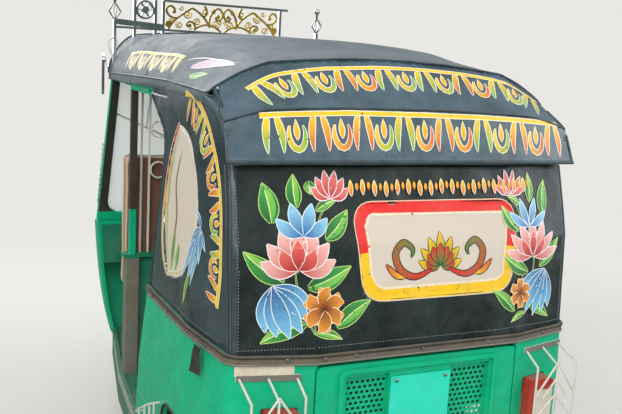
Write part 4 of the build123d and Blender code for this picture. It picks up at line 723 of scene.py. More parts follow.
@dataclass(frozen=True)
class HoodSheet:
    """One sheet of the hood: the outer skin of its frame solids with folds and slack, and its cut size in metres.

    cabin_line is the height that ROUND looks away from, shoulder the height at which the roof may sag and over how
    much more it does so in full, turned_in how little an outer face may look outwards, and weld the largest gap in
    millimetres that is closed between triangles.
    """

    name: str
    node: str
    facing: Place
    steps: Place
    flat: Point
    outside: Outside = Outside.FIXED
    finish: Finish = REXINE
    slot: str = "hood_cloth"
    fold: float = 3.0
    fold_size: Place = (150.0, 150.0, 420.0)
    ripple: float = 0.9
    ripple_size: Place = (38.0, 38.0, 70.0)
    slack: tuple[Place, ...] = ()
    seed: float = 0.0
    thickness: float = 3.0
    rests_on: tuple[str, ...] = ("hood_frame",)
    cabin_line: float = 1.15
    shoulder: Point = (1.62, 0.1)
    turned_in: float = 0.3
    weld: float = 0.8

    def outwards(self, place: Vector) -> Vector:
        """Return the direction that counts as outside at a place."""
        if self.outside is Outside.ROUND:
            return Vector((place.x, 0, place.z - self.cabin_line)).normalized()
        if self.outside is Outside.SIDEWAYS:
            return Vector((math.copysign(0.97, place.x), 0.24, 0))
        return Vector(self.facing).normalized()

    def depth(self, place: Vector) -> float:
        """Work out how far the cloth stands off its solid.

        Args:
            place: A point on the sheet in metres.

        Returns:
            Millimetres, less than zero where it sags inwards.
        """
        broad = Vector([c / (s * MM) for c, s in zip(place, self.fold_size)]) + Vector((self.seed, 0, 0))
        small = Vector([c / (s * MM) for c, s in zip(place, self.ripple_size)]) + Vector((0, self.seed, 0))
        depth = self.fold * (noise.noise(broad) - 0.35) + self.ripple * noise.noise(small)
        foot, rise = self.shoulder
        for start, end, sag in self.slack:
            if start < place.y < end:
                share = math.sin(math.pi * (place.y - start) / (end - start)) ** 2
                depth -= sag * share * max(0.0, min(1.0, (place.z - foot) / rise))
        return depth

    def build(self) -> Piece:
        shape = merged(self.node)
        inner = [f for f in shape.faces if f.normal.dot(self.outwards(f.calc_center_median())) < self.turned_in]
        bmesh.ops.delete(shape, geom=inner, context="FACES")
        slice_up(shape, self.steps)
        bmesh.ops.remove_doubles(shape, verts=shape.verts, dist=self.weld * MM)
        shape.normal_update()
        normals = [v.normal.copy() for v in shape.verts]
        area = sum(f.calc_area() for f in shape.faces)
        for vertex, normal in zip(shape.verts, normals):
            vertex.co += normal * self.depth(vertex.co) * MM
        piece = make_piece(self.name, shape, self.finish, self.slot)
        thicken(piece, self.thickness)
        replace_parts(piece, self.node)
        list(self.rests_on)
        log.info("%s: %.3f square metres, cut %.3f", self.name, area, self.flat[0] * self.flat[1])
        return piece


HOOD_SHEETS = (
    HoodSheet(
        "roof_cloth", "canopy_roof", (0, 0, 1), (24.0, 24.0, 24.0), (1.55, 1.74), outside=Outside.ROUND, fold=2.6,
        fold_size=(260.0, 200.0, 200.0), slack=((-0.762, -0.138, 5.0), (-0.138, 0.47, 5.0), (0.47, 0.93, 4.0)),
        finish=SKY_PAINTED_ROOF_REXINE,
    ),
    HoodSheet(
        "crown_cloth", "canopy_crown_band", (0, 0.6, 0.8), (14.0, 14.0, 0.0), (1.32, 0.24), fold=3.0,
        fold_size=(120.0, 160.0, 160.0), seed=3.0, finish=SKY_PAINTED_VALANCE_REXINE,
    ),
    HoodSheet(
        "valance_cloth", "canopy_valance", (0, 0.8, 0.6), (14.0, 0.0, 14.0), (1.30, 0.18), fold=3.6,
        fold_size=(90.0, 120.0, 260.0), seed=7.0, finish=SKY_PAINTED_VALANCE_REXINE,
    ),
    HoodSheet(
        "rear_cloth", "rear_curtain", (0, 1, 0), (13.0, 0.0, 13.0), (1.20, 0.56), fold=4.0,
        fold_size=(130.0, 130.0, 240.0), seed=11.0, finish=SHADED_REAR_REXINE,
    ),
    *[
        HoodSheet(
            f"side_cloth_{side}", f"side_curtain_{side}", (sign * 0.86, 0.51, 0), (0.0, 13.0, 13.0), (0.82, 0.68),
            fold=3.4, fold_size=(120.0, 120.0, 300.0), seed=17.0 - 2.0 * sign,
        )
        for sign, side in SIDES
    ],
    HoodSheet(
        "rear_film", "rear_window", (0, 1, 0), (22.0, 0.0, 22.0), (0.59, 0.28), finish=FILM, slot="window_film",
        fold=2.4, fold_size=(120.0, 120.0, 90.0), seed=23.0, thickness=1.2, rests_on=("rear_cloth",),
    ),
    HoodSheet(
        "side_films", "side_windows", (1, 0, 0), (0.0, 22.0, 22.0), (0.72, 0.51), outside=Outside.SIDEWAYS,
        finish=FILM, slot="window_film", fold=2.4, fold_size=(90.0, 120.0, 160.0), seed=27.0, thickness=1.2,
        rests_on=("side_cloth_left", "side_cloth_right"),
    ),
)


@dataclass(frozen=True)
class Board:
    """A flat drawing plane in millimetres that is pressed onto the hood along its own depth."""

    origin: Place
    across: Place
    up: Place
    cell: float = 12.0
    reach: float = 0.25

    def lay(self, shape: Mesh, onto: BVHTree, lift: float) -> None:
        """Press a drawing onto a surface and drop what misses it.

        Args:
            shape: The drawing, X across and Y up, its layers told apart by Z.
            onto: The surface.
            lift: Height of the lowest layer over the surface in millimetres.
        """
        across = Vector(self.across).normalized()
        up = Vector(self.up).normalized()
        inwards = across.cross(up)
        slice_up(shape, (self.cell / MM, self.cell / MM, 0.0))
        missed = []
        for vertex in shape.verts:
            start = Vector(self.origin) + (across * vertex.co.x + up * vertex.co.y) * MM - inwards * self.reach
            spot, normal, _, _ = onto.ray_cast(start, inwards, 2 * self.reach)
            if spot is None:
                missed.append(vertex)
            else:
                vertex.co = spot + normal * (lift + vertex.co.z) * MM
        bmesh.ops.delete(shape, geom=missed, context="VERTS")
        bmesh.ops.reverse_faces(shape, faces=shape.faces)


REAR_BOARD = Board((0.0, 1.2, 0.0), (1, 0, 0), (0, 0, 1))
LEFT_BOARD = Board((0.6, 0.0, 0.0), (0, -1, 0), (0, 0, 1))
RIGHT_BOARD = Board((-0.6, 0.0, 0.0), (0, 1, 0), (0, 0, 1))
CROWN_BOARD = Board((0.0, 0.96, 1.724), (1, 0, 0), (0, -0.14, 0.143))
VALANCE_BOARD = Board((0.0, 1.10, 1.579), (1, 0, 0), (0, -0.052, 0.152))
SHOULDER_BOARD = Board((0.59, 0.0, 1.616), (0, -1, 0), (-0.14, 0, 0.151))


def smooth_line(points: list[Point], count: int) -> list[Point]:
    """Draw a smooth line through given points.

    Args:
        points: The points in millimetres.
        count: Number of steps between two of them.

    Returns:
        The points of the line.
    """
    padded = [points[0], *points, points[-1]]
    line = []
    for before, start, end, after in zip(padded, padded[1:], padded[2:], padded[3:]):
        for step in range(count):
            t = step / count
            weights = (
                (-t + 2 * t * t - t**3) / 2,
                (2 - 5 * t * t + 3 * t**3) / 2,
                (t + 4 * t * t - 3 * t**3) / 2,
                (t**3 - t * t) / 2,
            )
            knots = (before, start, end, after)
            line.append(tuple(sum(w * knot[axis] for w, knot in zip(weights, knots)) for axis in (0, 1)))
    return [*line, points[-1]]


def rounded(corners: list[Point], radius: float) -> list[Point]:
    """Round the corners of a closed outline.

    Args:
        corners: The corner points in millimetres.
        radius: How far from a corner its bend starts.

    Returns:
        The outline's points, without the first one again at the end.
    """
    line = []
    for before, corner, after in zip([corners[-1], *corners], corners, [*corners[1:], corners[0]]):
        middle = Vector(corner)
        start = middle + (Vector(before) - middle).normalized() * radius
        end = middle + (Vector(after) - middle).normalized() * radius
        for step in range(7):
            t = step / 6
            line.append(tuple(start * (1 - t) ** 2 + middle * 2 * t * (1 - t) + end * t * t))
    return line


class Painter:
    """Brushes strokes into one drawing: every petal, leaf and bar is a stroke with its own two colours and rim."""

    def __init__(self) -> None:
        """Start with an empty drawing."""
        self.shape = bmesh.new()
        self.paint = self.shape.loops.layers.float_color.new("paint")
        self.layer = 0.0

    def stroke(
        self,
        spine: list[Point],
        width: float,
        colours: Colours,
        edge: float = 2.6,
        belly: Point = (0.8, 0.8),
        layer: float | None = None,
    ) -> None:
        """Brush one stroke along a spine.

        Args:
            spine: Points of the middle line in millimetres.
            width: Its greatest width.
            colours: Colours at the start, at the end and of the outline, which may be missing.
            edge: Width of that outline.
            belly: Where the stroke is widest and how full it is; fullness 0 keeps the width all along.
            layer: Height of the stroke in the drawing, or the next one up.
        """
        if layer is None:
            self.layer += 0.02
            layer = self.layer
        low, high, rim = (linear(code) if code else () for code in colours)
        last = len(spine) - 1
        rows = []
        for k, place in enumerate(spine):
            t = k / last
            run = Vector(spine[min(k + 1, last)]) - Vector(spine[max(k - 1, 0)])
            aside = Vector((-run.y, run.x)).normalized()
            full = math.sin(math.pi * min(max(t, 0.02), 0.98) ** belly[0]) ** belly[1] if belly[1] else 1.0
            half = width / 2 * full
            inner = half - min(edge, half * 0.6) if rim else half
            marks = (half, inner, -inner, -half) if rim else (half, -half)
            points = [Vector(place) + aside * mark for mark in marks]
            rows.append([self.shape.verts.new((p.x, p.y, layer)) for p in points])
        for k, (row, after) in enumerate(zip(rows, rows[1:])):
            for side in range(len(row) - 1):
                face = self.shape.faces.new((row[side], row[side + 1], after[side + 1], after[side]))
                start, end = (rim, rim) if rim and side != 1 else (low, high)
                for loop in face.loops:
                    t = (k if loop.vert in row else k + 1) / last
                    loop[self.paint] = tuple(a + (b - a) * t for a, b in zip(start, end))

    def petal(
        self, base: Point, tip: Point, width: float, colours: Colours, bend: float = 0.0, belly: Point = (0.8, 0.8)
    ) -> None:
        """Brush a petal or leaf blade between two points.

        Args:
            base: Where it starts.
            tip: Where it ends.
            width: Its greatest width.
            colours: Its colours, as for a stroke.
            bend: How far its middle stands to one side.
            belly: Where it is widest and how full it is.
        """
        run = Vector(tip) - Vector(base)
        aside = Vector((-run.y, run.x)).normalized()
        spine = [
            tuple(Vector(base) + run * (k / 10) + aside * bend * math.sin(math.pi * k / 10)) for k in range(11)
        ]
        self.stroke(spine, width, colours, belly=belly)

    def leaf(self, base: Point, tip: Point, width: float, bend: float = 6.0) -> None:
        """Brush a leaf: a dark half, a light half and a pale midrib."""
        self.petal(base, tip, width, ("0F5A2C", "46B04A", "C8E07A"), bend)
        self.petal(base, tip, width * 0.34, ("3FAE46", "9BD85A", ""), bend + width * 0.16)
        self.petal(base, tip, 3.4, ("D5EC8C", "F1F7B4", ""), bend, (1.0, 0.4))

    def fan(
        self, base: Point, facing: float, spread: float, count: int, length: float, width: float, colours: Colours,
        shorter: float,
    ) -> None:
        """Brush petals in a fan, the outer ones first and the middle one on top.

        Args:
            base: Where the petals meet.
            facing: Direction of the middle petal in degrees, 0 across and 90 up.
            spread: Angle between the outer petals and the middle one.
            count: Number of petals.
            length: Length of the middle petal.
            width: Width of a petal.
            colours: The petals' colours, as for a stroke.
            shorter: Part of the length that the outer petals lack.
        """
        shares = sorted([2 * k / (count - 1) - 1 for k in range(count)], key=lambda share: -abs(share))
        for share in shares:
            angle = math.radians(facing + share * spread)
            reach = length * (1 - shorter * abs(share))
            tip = (base[0] + reach * math.cos(angle), base[1] + reach * math.sin(angle))
            self.petal(base, tip, width, colours, share * width * 0.25, (1.1, 0.8))

    def festoon(self, guide: list[Point], depth: float, count: int, lows: tuple[str, ...], bar: float = 15.0) -> None:
        """Hang drops and crescents with bosses from a painted bar, as on door garlands.

        Args:
            guide: Points of the bar's middle line; what hangs is on the right of its direction.
            depth: How far the drops hang in millimetres.
            count: Number of hanging figures.
            lows: Colours at the figures' lower ends, used in turn.
            bar: Width of the bar.
        """
        line = smooth_line(guide, 8)
        lengths = [0.0]
        for start, end in zip(line, line[1:]):
            lengths.append(lengths[-1] + (Vector(end) - Vector(start)).length)
        for k in range(count):
            mark = lengths[-1] * (k + 0.5) / count
            index = max(i for i, length in enumerate(lengths[:-1]) if length <= mark)
            start, end = Vector(line[index]), Vector(line[index + 1])
            along = (end - start).normalized()
            hang = Vector((along.y, -along.x))
            place = start + along * (mark - lengths[index])
            colour = lows[k % len(lows)]
            unit = lengths[-1] / count
            if k % 2:
                turns = [math.radians(a) for a in range(-35, 216, 25)]
                middle = place + hang * depth * 0.52
                spine = [
                    tuple(middle + along * math.cos(a) * unit * 0.36 + hang * math.sin(a) * depth * 0.40)
                    for a in turns
                ]
                self.stroke(spine, unit * 0.30, ("FFD21E", colour, "FFF6E0"), belly=(0.9, 0.45))
                base, tip = (middle + hang * depth * share for share in (-0.4, 0.16))
                self.petal(tuple(base), tuple(tip), unit * 0.3, ("FFD21E", "F2A81C", "FFF6E0"), belly=(1.3, 0.7))
            else:
                for lean in (-0.34, 0.34):
                    base = place + along * unit * lean * 0.5
                    tip = place + hang * depth + along * unit * lean
                    bend = math.copysign(unit * 0.08, lean)
                    self.petal(
                        tuple(base), tuple(tip), unit * 0.34, ("FFD21E", colour, "FFF6E0"), bend, (0.7, 0.55)
                    )
        self.stroke(line, bar, ("FFD21E", "FFD21E", "FFF6E0"), belly=(1.0, 0.0))

    def finish(self, name: str, board: Board, onto: BVHTree, lift: float = 0.5) -> None:
        """Press the drawing onto the hood and make it a piece of its own.

        Args:
            name: The piece's name.
            board: The plane that it was drawn on.
            onto: The surface that it lies on.
            lift: Height over that surface in millimetres.
        """
        bmesh.ops.triangulate(self.shape, faces=self.shape.faces)
        board.lay(self.shape, onto, lift)
        make_piece(name, self.shape, BRUSHED_PAINT, "hood_cloth")


@dataclass
class HoodPaint:
    """Hand-painted flowers, garlands and window borders on the hood; sizes in millimetres."""

    onto: BVHTree

    def bouquet(self, art: Painter, middle: float, side: float, squeeze: float = 1.0) -> None:
        """Paint one bouquet of lotus, bell flower, poppy and leaves.

        Args:
            art: The drawing.
            middle: X of the bouquet's middle.
            side: 1 for the left one, -1 for its mirror image on the right.
            squeeze: Share of the full width.
        """

        def at(x: float, z: float) -> Point:
            """Place a point given for the left bouquet."""
            return (middle + side * squeeze * (x - 390.0), z)

        stems = (
            ((412, 1130), (398, 1040), (356, 946)),
            ((330, 1120), (350, 1030), (356, 946)),
            ((382, 1229), (392, 1180), (405, 1120)),
            ((292, 1325), (330, 1270), (360, 1190)),
        )
        for stem in stems:
            art.stroke(smooth_line([at(*p) for p in stem], 6), 6.0, ("2E8B3A", "1F6B2E", "BFE08A"), 1.2, (1.0, 0.2))
        for base, tip, width, bend in (
            ((474, 1257), (495, 1367), 62, 5), ((397, 1299), (401, 1391), 48, -4), ((340, 1290), (268, 1322), 30, -4),
            ((316, 1211), (240, 1291), 54, 6), ((444, 1094), (561, 1183), 60, -6), ((375, 1079), (238, 1134), 62, 6),
            ((379, 977), (511, 924), 54, 6), ((286, 960), (173, 1032), 56, -5), ((356, 950), (268, 926), 30, -6),
            ((356, 1372), (352, 1335), 36, 0),
        ):
            art.leaf(at(*base), at(*tip), width * squeeze, bend * side)
        art.fan(at(478, 1085), 244 if side > 0 else 296, 34, 6, 165, 48 * squeeze, ("0A4E96", "7FCBF2", "E9F7FF"), 0.2)
        art.fan(at(400, 1130), 90, 78, 7, 122, 52 * squeeze, ("C8242E", "FFC9C0", "FFFFFF"), 0.06)
        art.fan(at(402, 1128), 90, 40, 3, 84, 44 * squeeze, ("A8141E", "F46A5E", "FFE3DC"), 0.1)
        art.fan(at(384, 1222), 90, 58, 4, 96, 40 * squeeze, ("0A5AA8", "9BDCF8", "EAF8FF"), 0.05)
        art.fan(at(291, 1322), 92, 62, 6, 84, 30 * squeeze, ("C01C28", "F7867C", "FFFFFF"), 0.18)
        for lean in (0, 60, 120, 180, 240, 300):
            art.fan(at(326, 1014), lean, 14, 2, 66 * squeeze, 44 * squeeze, ("8A3208", "F7A234", "FFE9BE"), 0.0)
        art.fan(at(326, 1014), 80, 70, 4, 30 * squeeze, 18, ("4A1C06", "C86A14", ""), 0.1)

    def rear(self) -> None:
        """Paint the rear curtain: two bouquets and a row of lozenges over the window."""
        art = Painter()
        self.bouquet(art, 390.0, 1.0)
        self.bouquet(art, -425.0, -1.0, 0.72)
        for k in range(17):
            x = 222.0 - 39.5 * k
            z = 1352.0 + 3.0 * math.sin(k * 1.7)
            art.petal((x, z + 21), (x, z - 25), 17, ("FFD21E", "E8502A", "FFF0C0"), belly=(1.0, 0.6))
            art.petal((x - 20, z + 13), (x - 20, z - 9), 11, ("FFC21A", "F08A20", ""), belly=(1.0, 0.6))
        art.finish("bouquets", REAR_BOARD, self.onto)

    def window(self) -> None:
        """Paint the rear window's two-coloured border and the palmette on its film."""
        art = Painter()
        ring = rounded([(205.0, 1292.0), (-349.0, 1292.0), (-322.0, 1046.0), (178.0, 1046.0)], 52.0)
        upper = [p for p in ring if p[1] > 1168.0]
        lower = [p for p in ring if p[1] <= 1168.0]
        split = ring.index(upper[0])
        ring = ring[split:] + ring[:split]
        upper = [(190.5, 1168.0), *[p for p in ring if p[1] > 1168.0], (-336.0, 1168.0)]
        lower = [(-336.0, 1168.0), *[p for p in ring if p[1] <= 1168.0], (190.5, 1168.0)]
        art.stroke(upper, 44.0, ("F0281E", "F0281E", "E9D9B8"), 3.0, (1.0, 0.0), 0.1)
        art.stroke(lower, 44.0, ("FFCC00", "FFCC00", "E9D9B8"), 3.0, (1.0, 0.0), 0.1)
        inner = rounded([(186.0, 1275.0), (-330.0, 1275.0), (-305.0, 1063.0), (161.0, 1063.0)], 46.0)
        wavy = [
            (x + 3.0 * math.sin(k * 1.9), z + 3.0 * math.cos(k * 1.3)) for k, (x, z) in enumerate([*inner, inner[0]])
        ]
        art.stroke(wavy, 7.0, ("F3E7CC", "F3E7CC", ""), 0.0, (1.0, 0.0), 0.2)
        middle = (-72.0, 1160.0)
        for lean, length, colour in ((90, 100, "FFCC00"), (90, 66, "E2231A")):
            art.fan((middle[0], 1122.0), lean, 80, 7, length, 34, ("1E8A3A", colour, "141414"), 0.2)
        for way in (-1, 1):
            curl = [(middle[0] + way * x, z) for x, z in ((30, 1110), (90, 1090), (140, 1112), (158, 1160),
                                                          (130, 1192), (98, 1172), (104, 1148))]
            art.stroke(smooth_line(curl, 5), 26.0, ("E2231A", "1E8A3A", "141414"), 3.0, (0.8, 0.45))
            drop = [(middle[0] + way * x, z) for x, z in ((128, 1088), (160, 1100), (192, 1132))]
            art.stroke(smooth_line(drop, 5), 22.0, ("FFCC00", "E2231A", "141414"), 3.0, (1.0, 0.6))
        art.finish("window_border", REAR_BOARD, self.onto, 0.7)

    def garlands(self) -> None:
        """Paint the two garlands on the crown and the valance."""
        art = Painter()
        guide = [(-548, -112), (-420, -60), (-240, -38), (0, -34), (200, -42), (330, -56), (430, -78), (508, -116)]
        art.festoon(guide, 92.0, 15, ("4DB06A", "4DB06A", "58B25A", "D8403A", "C23A40", "4DB06A"), 15.0)
        art.finish("crown_garland", CROWN_BOARD, self.onto)
        art = Painter()
        guide = [(-575, -30), (-400, -22), (-200, -16), (0, -14), (200, -14), (380, -20), (500, -26)]
        art.festoon(guide, 112.0, 15, ("E0362E", "C8302E", "D8403A", "4DB848", "4DB848"), 17.0)
        art.finish("valance_garland", VALANCE_BOARD, self.onto)

    def side(self, board: Board, name: str) -> None:
        """Paint one side: the curved garland, the long blue flower and the window's border.

        Args:
            board: The side's drawing plane.
            name: Name of that side.
        """
        sign = 1.0 if board is RIGHT_BOARD else -1.0

        def at(y: float, z: float) -> Point:
            """Place a point given as Y and Z."""
            return (sign * y, z)

        art = Painter()
        guide = [at(*p) for p in ((735, 1588), (850, 1562), (955, 1500), (1032, 1412), (1078, 1310), (1104, 1205),
                                  (1108, 1100), (1092, 1000))]
        if sign < 0:
            guide = guide[::-1]
        art.festoon(guide, 88.0, 11, ("E0362E", "D8403A", "4DB848", "4DB848", "E0362E"), 20.0)
        for base, tip, width in (
            ((948, 1207), (842, 1122), 28), ((950, 1205), (786, 1012), 34), ((952, 1200), (840, 996), 36),
            ((955, 1196), (882, 1012), 34), ((958, 1196), (938, 1090), 30), ((956, 1198), (986, 1138), 22),
            ((950, 1208), (906, 1250), 24),
        ):
            art.petal(at(*base), at(*tip), width, ("0A5AA8", "9BDCF8", "EAF8FF"), 4.0)
        art.leaf(at(690, 1135), at(655, 1002), 36, 6.0)
        art.leaf(at(738, 1110), at(700, 1010), 30, -6.0)
        art.leaf(at(868, 1040), at(823, 938), 30, 4.0)
        art.finish(f"side_garland_{name}", board, self.onto)
        art = Painter()
        rear_edge = [at(*p) for p in ((644, 1483), (762, 1447), (852, 1375), (899, 1285), (902, 1190), (862, 1098),
                                      (768, 1024), (622, 985))]
        front_edge = [at(*p) for p in ((622, 985), (572, 1040), (548, 1120), (545, 1210), (556, 1300), (588, 1400),
                                       (644, 1483))]
        twig = [at(*p) for p in ((640, 1455), (590, 1330), (575, 1210), (588, 1100), (628, 1015))]
        stalk = [at(*p) for p in ((700, 1400), (660, 1300), (690, 1180), (650, 1070))]
        for line, width, colours, edge, full, layer in (
            (rear_edge, 22.0, ("F4F0E4", "D9C9A4", "F7F3E8"), 4.0, 0.12, 0.1),
            (front_edge, 22.0, ("F1E36A", "E0402E", "F7F3E8"), 4.0, 0.12, 0.1),
            (twig, 20.0, ("4FA83E", "E8D83A", "F7F3E8"), 2.5, 0.5, None),
            (stalk, 15.0, ("58A84A", "C8462E", ""), 2.5, 0.7, None),
        ):
            art.stroke(smooth_line(line, 5), width, colours, edge, (1.0, full), layer)
        art.finish(f"side_border_{name}", board, self.onto, 0.7)

    def shoulder(self) -> None:
        """Paint the faded figures on the roof's left shoulder."""
        art = Painter()
        guide = [(-520, 92), (-330, 98), (-160, 102), (20, 104), (180, 104), (300, 104)]
        art.festoon(guide, 66.0, 9, ("E8D08A", "D8C48A", "E0B8A0"), 12.0)
        art.petal((-640, 62), (-860, 118), 52, ("C88AB0", "F6EAF2", "FFFFFF"), -12.0)
        art.leaf((-690, 30), (-800, 52), 30, 5.0)
        art.stroke(smooth_line([(-560, 84), (-650, 110), (-760, 122), (-880, 132)], 5), 6.0, ("FFFFFF", "F0ECF0", ""))
        art.finish("shoulder_garland", SHOULDER_BOARD, self.onto)

    def build(self) -> None:
        """Paint the whole hood."""
        self.rear()
        self.window()
        self.garlands()
        self.side(LEFT_BOARD, "left")
        self.side(RIGHT_BOARD, "right")
        self.shoulder()


@dataclass
class HoodBeading:
    """Round beading and welts along the hood's seams and edges, in metres."""

    onto: BVHTree
    radius: float = 3.2
    corner_gap: float = 0.017

    def build(self) -> None:
        """Run every bead."""
        roof_edge = [(508, -758, 1592), (540, -400, 1600), (562, -138, 1606), (578, 150, 1611), (590, 470, 1616),
                     (598, 700, 1611), (606, 955, 1604)]
        rear_arch = [(606, 960, 1604), (578, 960, 1640), (520, 960, 1680), (415, 960, 1699), (220, 960, 1717),
                     (0, 960, 1724)]
        front_arch = [(508, -757, 1594), (506, -757, 1660), (470, -757, 1735), (400, -757, 1766), (200, -757, 1788),
                      (0, -757, 1795)]
        seam = [(602, 1100, 1533), (530, 1100, 1559), (440, 1100, 1573), (220, 1100, 1579), (0, 1100, 1581)]
        lip = [(608, 1151, 1426), (440, 1151, 1427), (220, 1151, 1427), (0, 1151, 1427)]
        free_edge = [(612, 425, 892), (604, 455, 1050), (598, 482, 1200), (590, 498, 1320), (586, 502, 1385),
                     (584, 484, 1430), (580, 440, 1468), (578, 386, 1494), (574, 300, 1530), (570, 256, 1556)]
        corner = [(606, 962, 1602), (603, 1040, 1566), (602, 1100, 1530), (606, 1150, 1426)]
        post = [(588, 1108, 1412), (592, 1140, 1310), (596, 1166, 1190), (594, 1180, 1040), (590, 1190, 893)]
        for name, line in (("rear_arch", rear_arch), ("front_arch", front_arch), ("seam", seam), ("lip", lip)):
            radius = 5.0 if name in ("front_arch", "lip") else self.radius
            self.run(f"bead_{name}", [*line, *flip(line[-2::-1], -1)], radius)
        for sign, side in SIDES:
            for name, line in (("edge", roof_edge), ("free_edge", free_edge), ("corner", corner), ("post", post)):
                self.run(f"bead_{name}_{side}", flip(line, sign), self.radius)
            twin = [(sign * (x + 2), y - 1000 * self.corner_gap, z) for x, y, z in post]
            self.run(f"bead_twin_{side}", twin, self.radius)
            rolled = [(0.598, 0.925, 1.592), (0.594, 0.975, 1.578), (0.591, 1.03, 1.556), (0.591, 1.085, 1.523),
                      (0.594, 1.11, 1.49)]
            bead(f"corner_roll_{side}", flip(rolled, sign), 13.0, SKY_PAINTED_VALANCE_REXINE, "hood_cloth")

    def run(self, name: str, line: list[Place], radius: float) -> None:
        """Run one bead of the hood.

        Args:
            name: The piece's name.
            line: Points in millimetres.
            radius: Its radius in millimetres.
        """
        points = [tuple(c * MM for c in point) for point in line]
        bead(name, points, radius, WELT, "hood_cloth", self.onto, radius * 0.35)


@dataclass
class Hood:
    """The hood's sheets with their beading and paint."""

    def sew(self, onto: BVHTree) -> None:
        """Stitch the hems beside the hood's seams.

        Args:
            onto: The outer skins.
        """
        valance = [(0.604, 1.16, 1.442), (0.44, 1.17, 1.444), (-0.44, 1.17, 1.444), (-0.604, 1.16, 1.442)]
        ridge = [(0.55, 1.10, 1.542), (0.44, 1.10, 1.558), (0.22, 1.10, 1.566), (-0.22, 1.10, 1.566),
                 (-0.44, 1.10, 1.558), (-0.55, 1.10, 1.542)]
        hem = [(0.575, 1.20, 0.904), (0.30, 1.22, 0.904), (-0.30, 1.22, 0.904), (-0.575, 1.20, 0.904)]
        for name, line in (("valance", valance), ("ridge", ridge), ("hem", hem)):
            stitches(f"stitches_{name}", line, onto)
        for sign, side in SIDES:
            for name, line in (
                ("post", [(0.578, 1.165, 1.40), (0.581, 1.19, 1.19), (0.578, 1.205, 1.04), (0.574, 1.21, 0.90)]),
                ("side", [(0.612, 0.45, 0.905), (0.612, 0.80, 0.905), (0.606, 1.12, 0.905)]),
                ("edge", [(0.60, 0.47, 0.95), (0.60, 0.498, 1.20), (0.59, 0.515, 1.38)]),
            ):
                stitches(f"stitches_{name}_{side}", flip(line, sign), onto)

    def build(self) -> None:
        """Build sheets, films, beading, stitches and paint in that order."""
        onto = surface(joined(*[sheet.build().data for sheet in HOOD_SHEETS]))
        HoodBeading(onto).build()
        self.sew(onto)
        HoodPaint(onto).build()


def box_shape(low: Place, high: Place, bevel: float) -> Mesh:
    """Make a block between two corners with softened edges.

    Args:
        low: Lowest corner in millimetres.
        high: Highest corner in millimetres.
        bevel: Width of the softened edges in millimetres.

    Returns:
        A bmesh in metres.
    """
    shape = bmesh.new()
    bmesh.ops.create_cube(shape, size=1.0)
    bmesh.ops.scale(shape, vec=(Vector(high) - Vector(low)) * MM, verts=shape.verts)
    bmesh.ops.translate(shape, vec=(Vector(high) + Vector(low)) / 2 * MM, verts=shape.verts)
    bmesh.ops.bevel(
        shape, geom=shape.edges[:], offset=bevel * MM, segments=2, profile=0.5, affect="EDGES", material=-1
    )
    return shape


@dataclass(frozen=True)
class Stud:
    """A bolt head, nut or rivet with radius and height in millimetres; six sides make a hexagon.

    skirt is the straight part's share of the height, and taper the flat top's share of the radius.
    """

    radius: float
    height: float
    sides: int
    skirt: float = 0.6
    taper: float = 0.72

    def add(self, shape: Mesh, place: Vector, facing: Vector) -> None:
        """Stand one stud on a surface.

        Args:
            shape: The bmesh that it joins, in metres.
            place: Its foot in metres.
            facing: The direction that it stands in.
        """
        disc = bmesh.ops.create_circle(shape, cap_ends=True, segments=self.sides, radius=self.radius * MM)["verts"]
        verts, tip = set(disc), disc
        for share in (self.skirt, 1 - self.skirt):
            caps = {f for v in tip for f in v.link_faces if len(f.verts) == self.sides}
            grown = bmesh.ops.extrude_face_region(shape, geom=list(caps))["geom"]
            tip = [part for part in grown if isinstance(part, bmesh.types.BMVert)]
            bmesh.ops.translate(shape, vec=(0, 0, self.height * MM * share), verts=tip)
            verts |= set(tip)
        middle = Vector((0, 0, self.height * MM))
        for vertex in tip:
            vertex.co = middle + (vertex.co - middle) * self.taper
        turn = facing.to_track_quat("Z", "Y").to_matrix()
        for vertex in verts:
            vertex.co = place + turn @ vertex.co


NUT = Stud(10.0, 9.0, 6)
HUB_CAP = Stud(24.0, 5.0, 28)
PLATE_BOLT = Stud(6.5, 4.5, 6)
RIVET = Stud(6.0, 3.2, 12)


def fasten(
    name: str, studs: Iterable[tuple[Stud, Vector, Vector]], slot: str, body: str = "body", smooth: bool = False
) -> None:
    """Make one piece of zinc-plated studs.

    Args:
        name: The piece's name.
        studs: Each stud with its foot in metres and its direction.
        slot: Its material slot.
        body: The body that carries it.
        smooth: Whether the heads are round and shaded smooth.
    """
    shape = bmesh.new()
    for stud, place, facing in studs:
        stud.add(shape, place, facing)
    bmesh.ops.recalc_face_normals(shape, faces=shape.faces)
    make_piece(name, shape, BRIGHT_ZINC, slot, body, smooth)


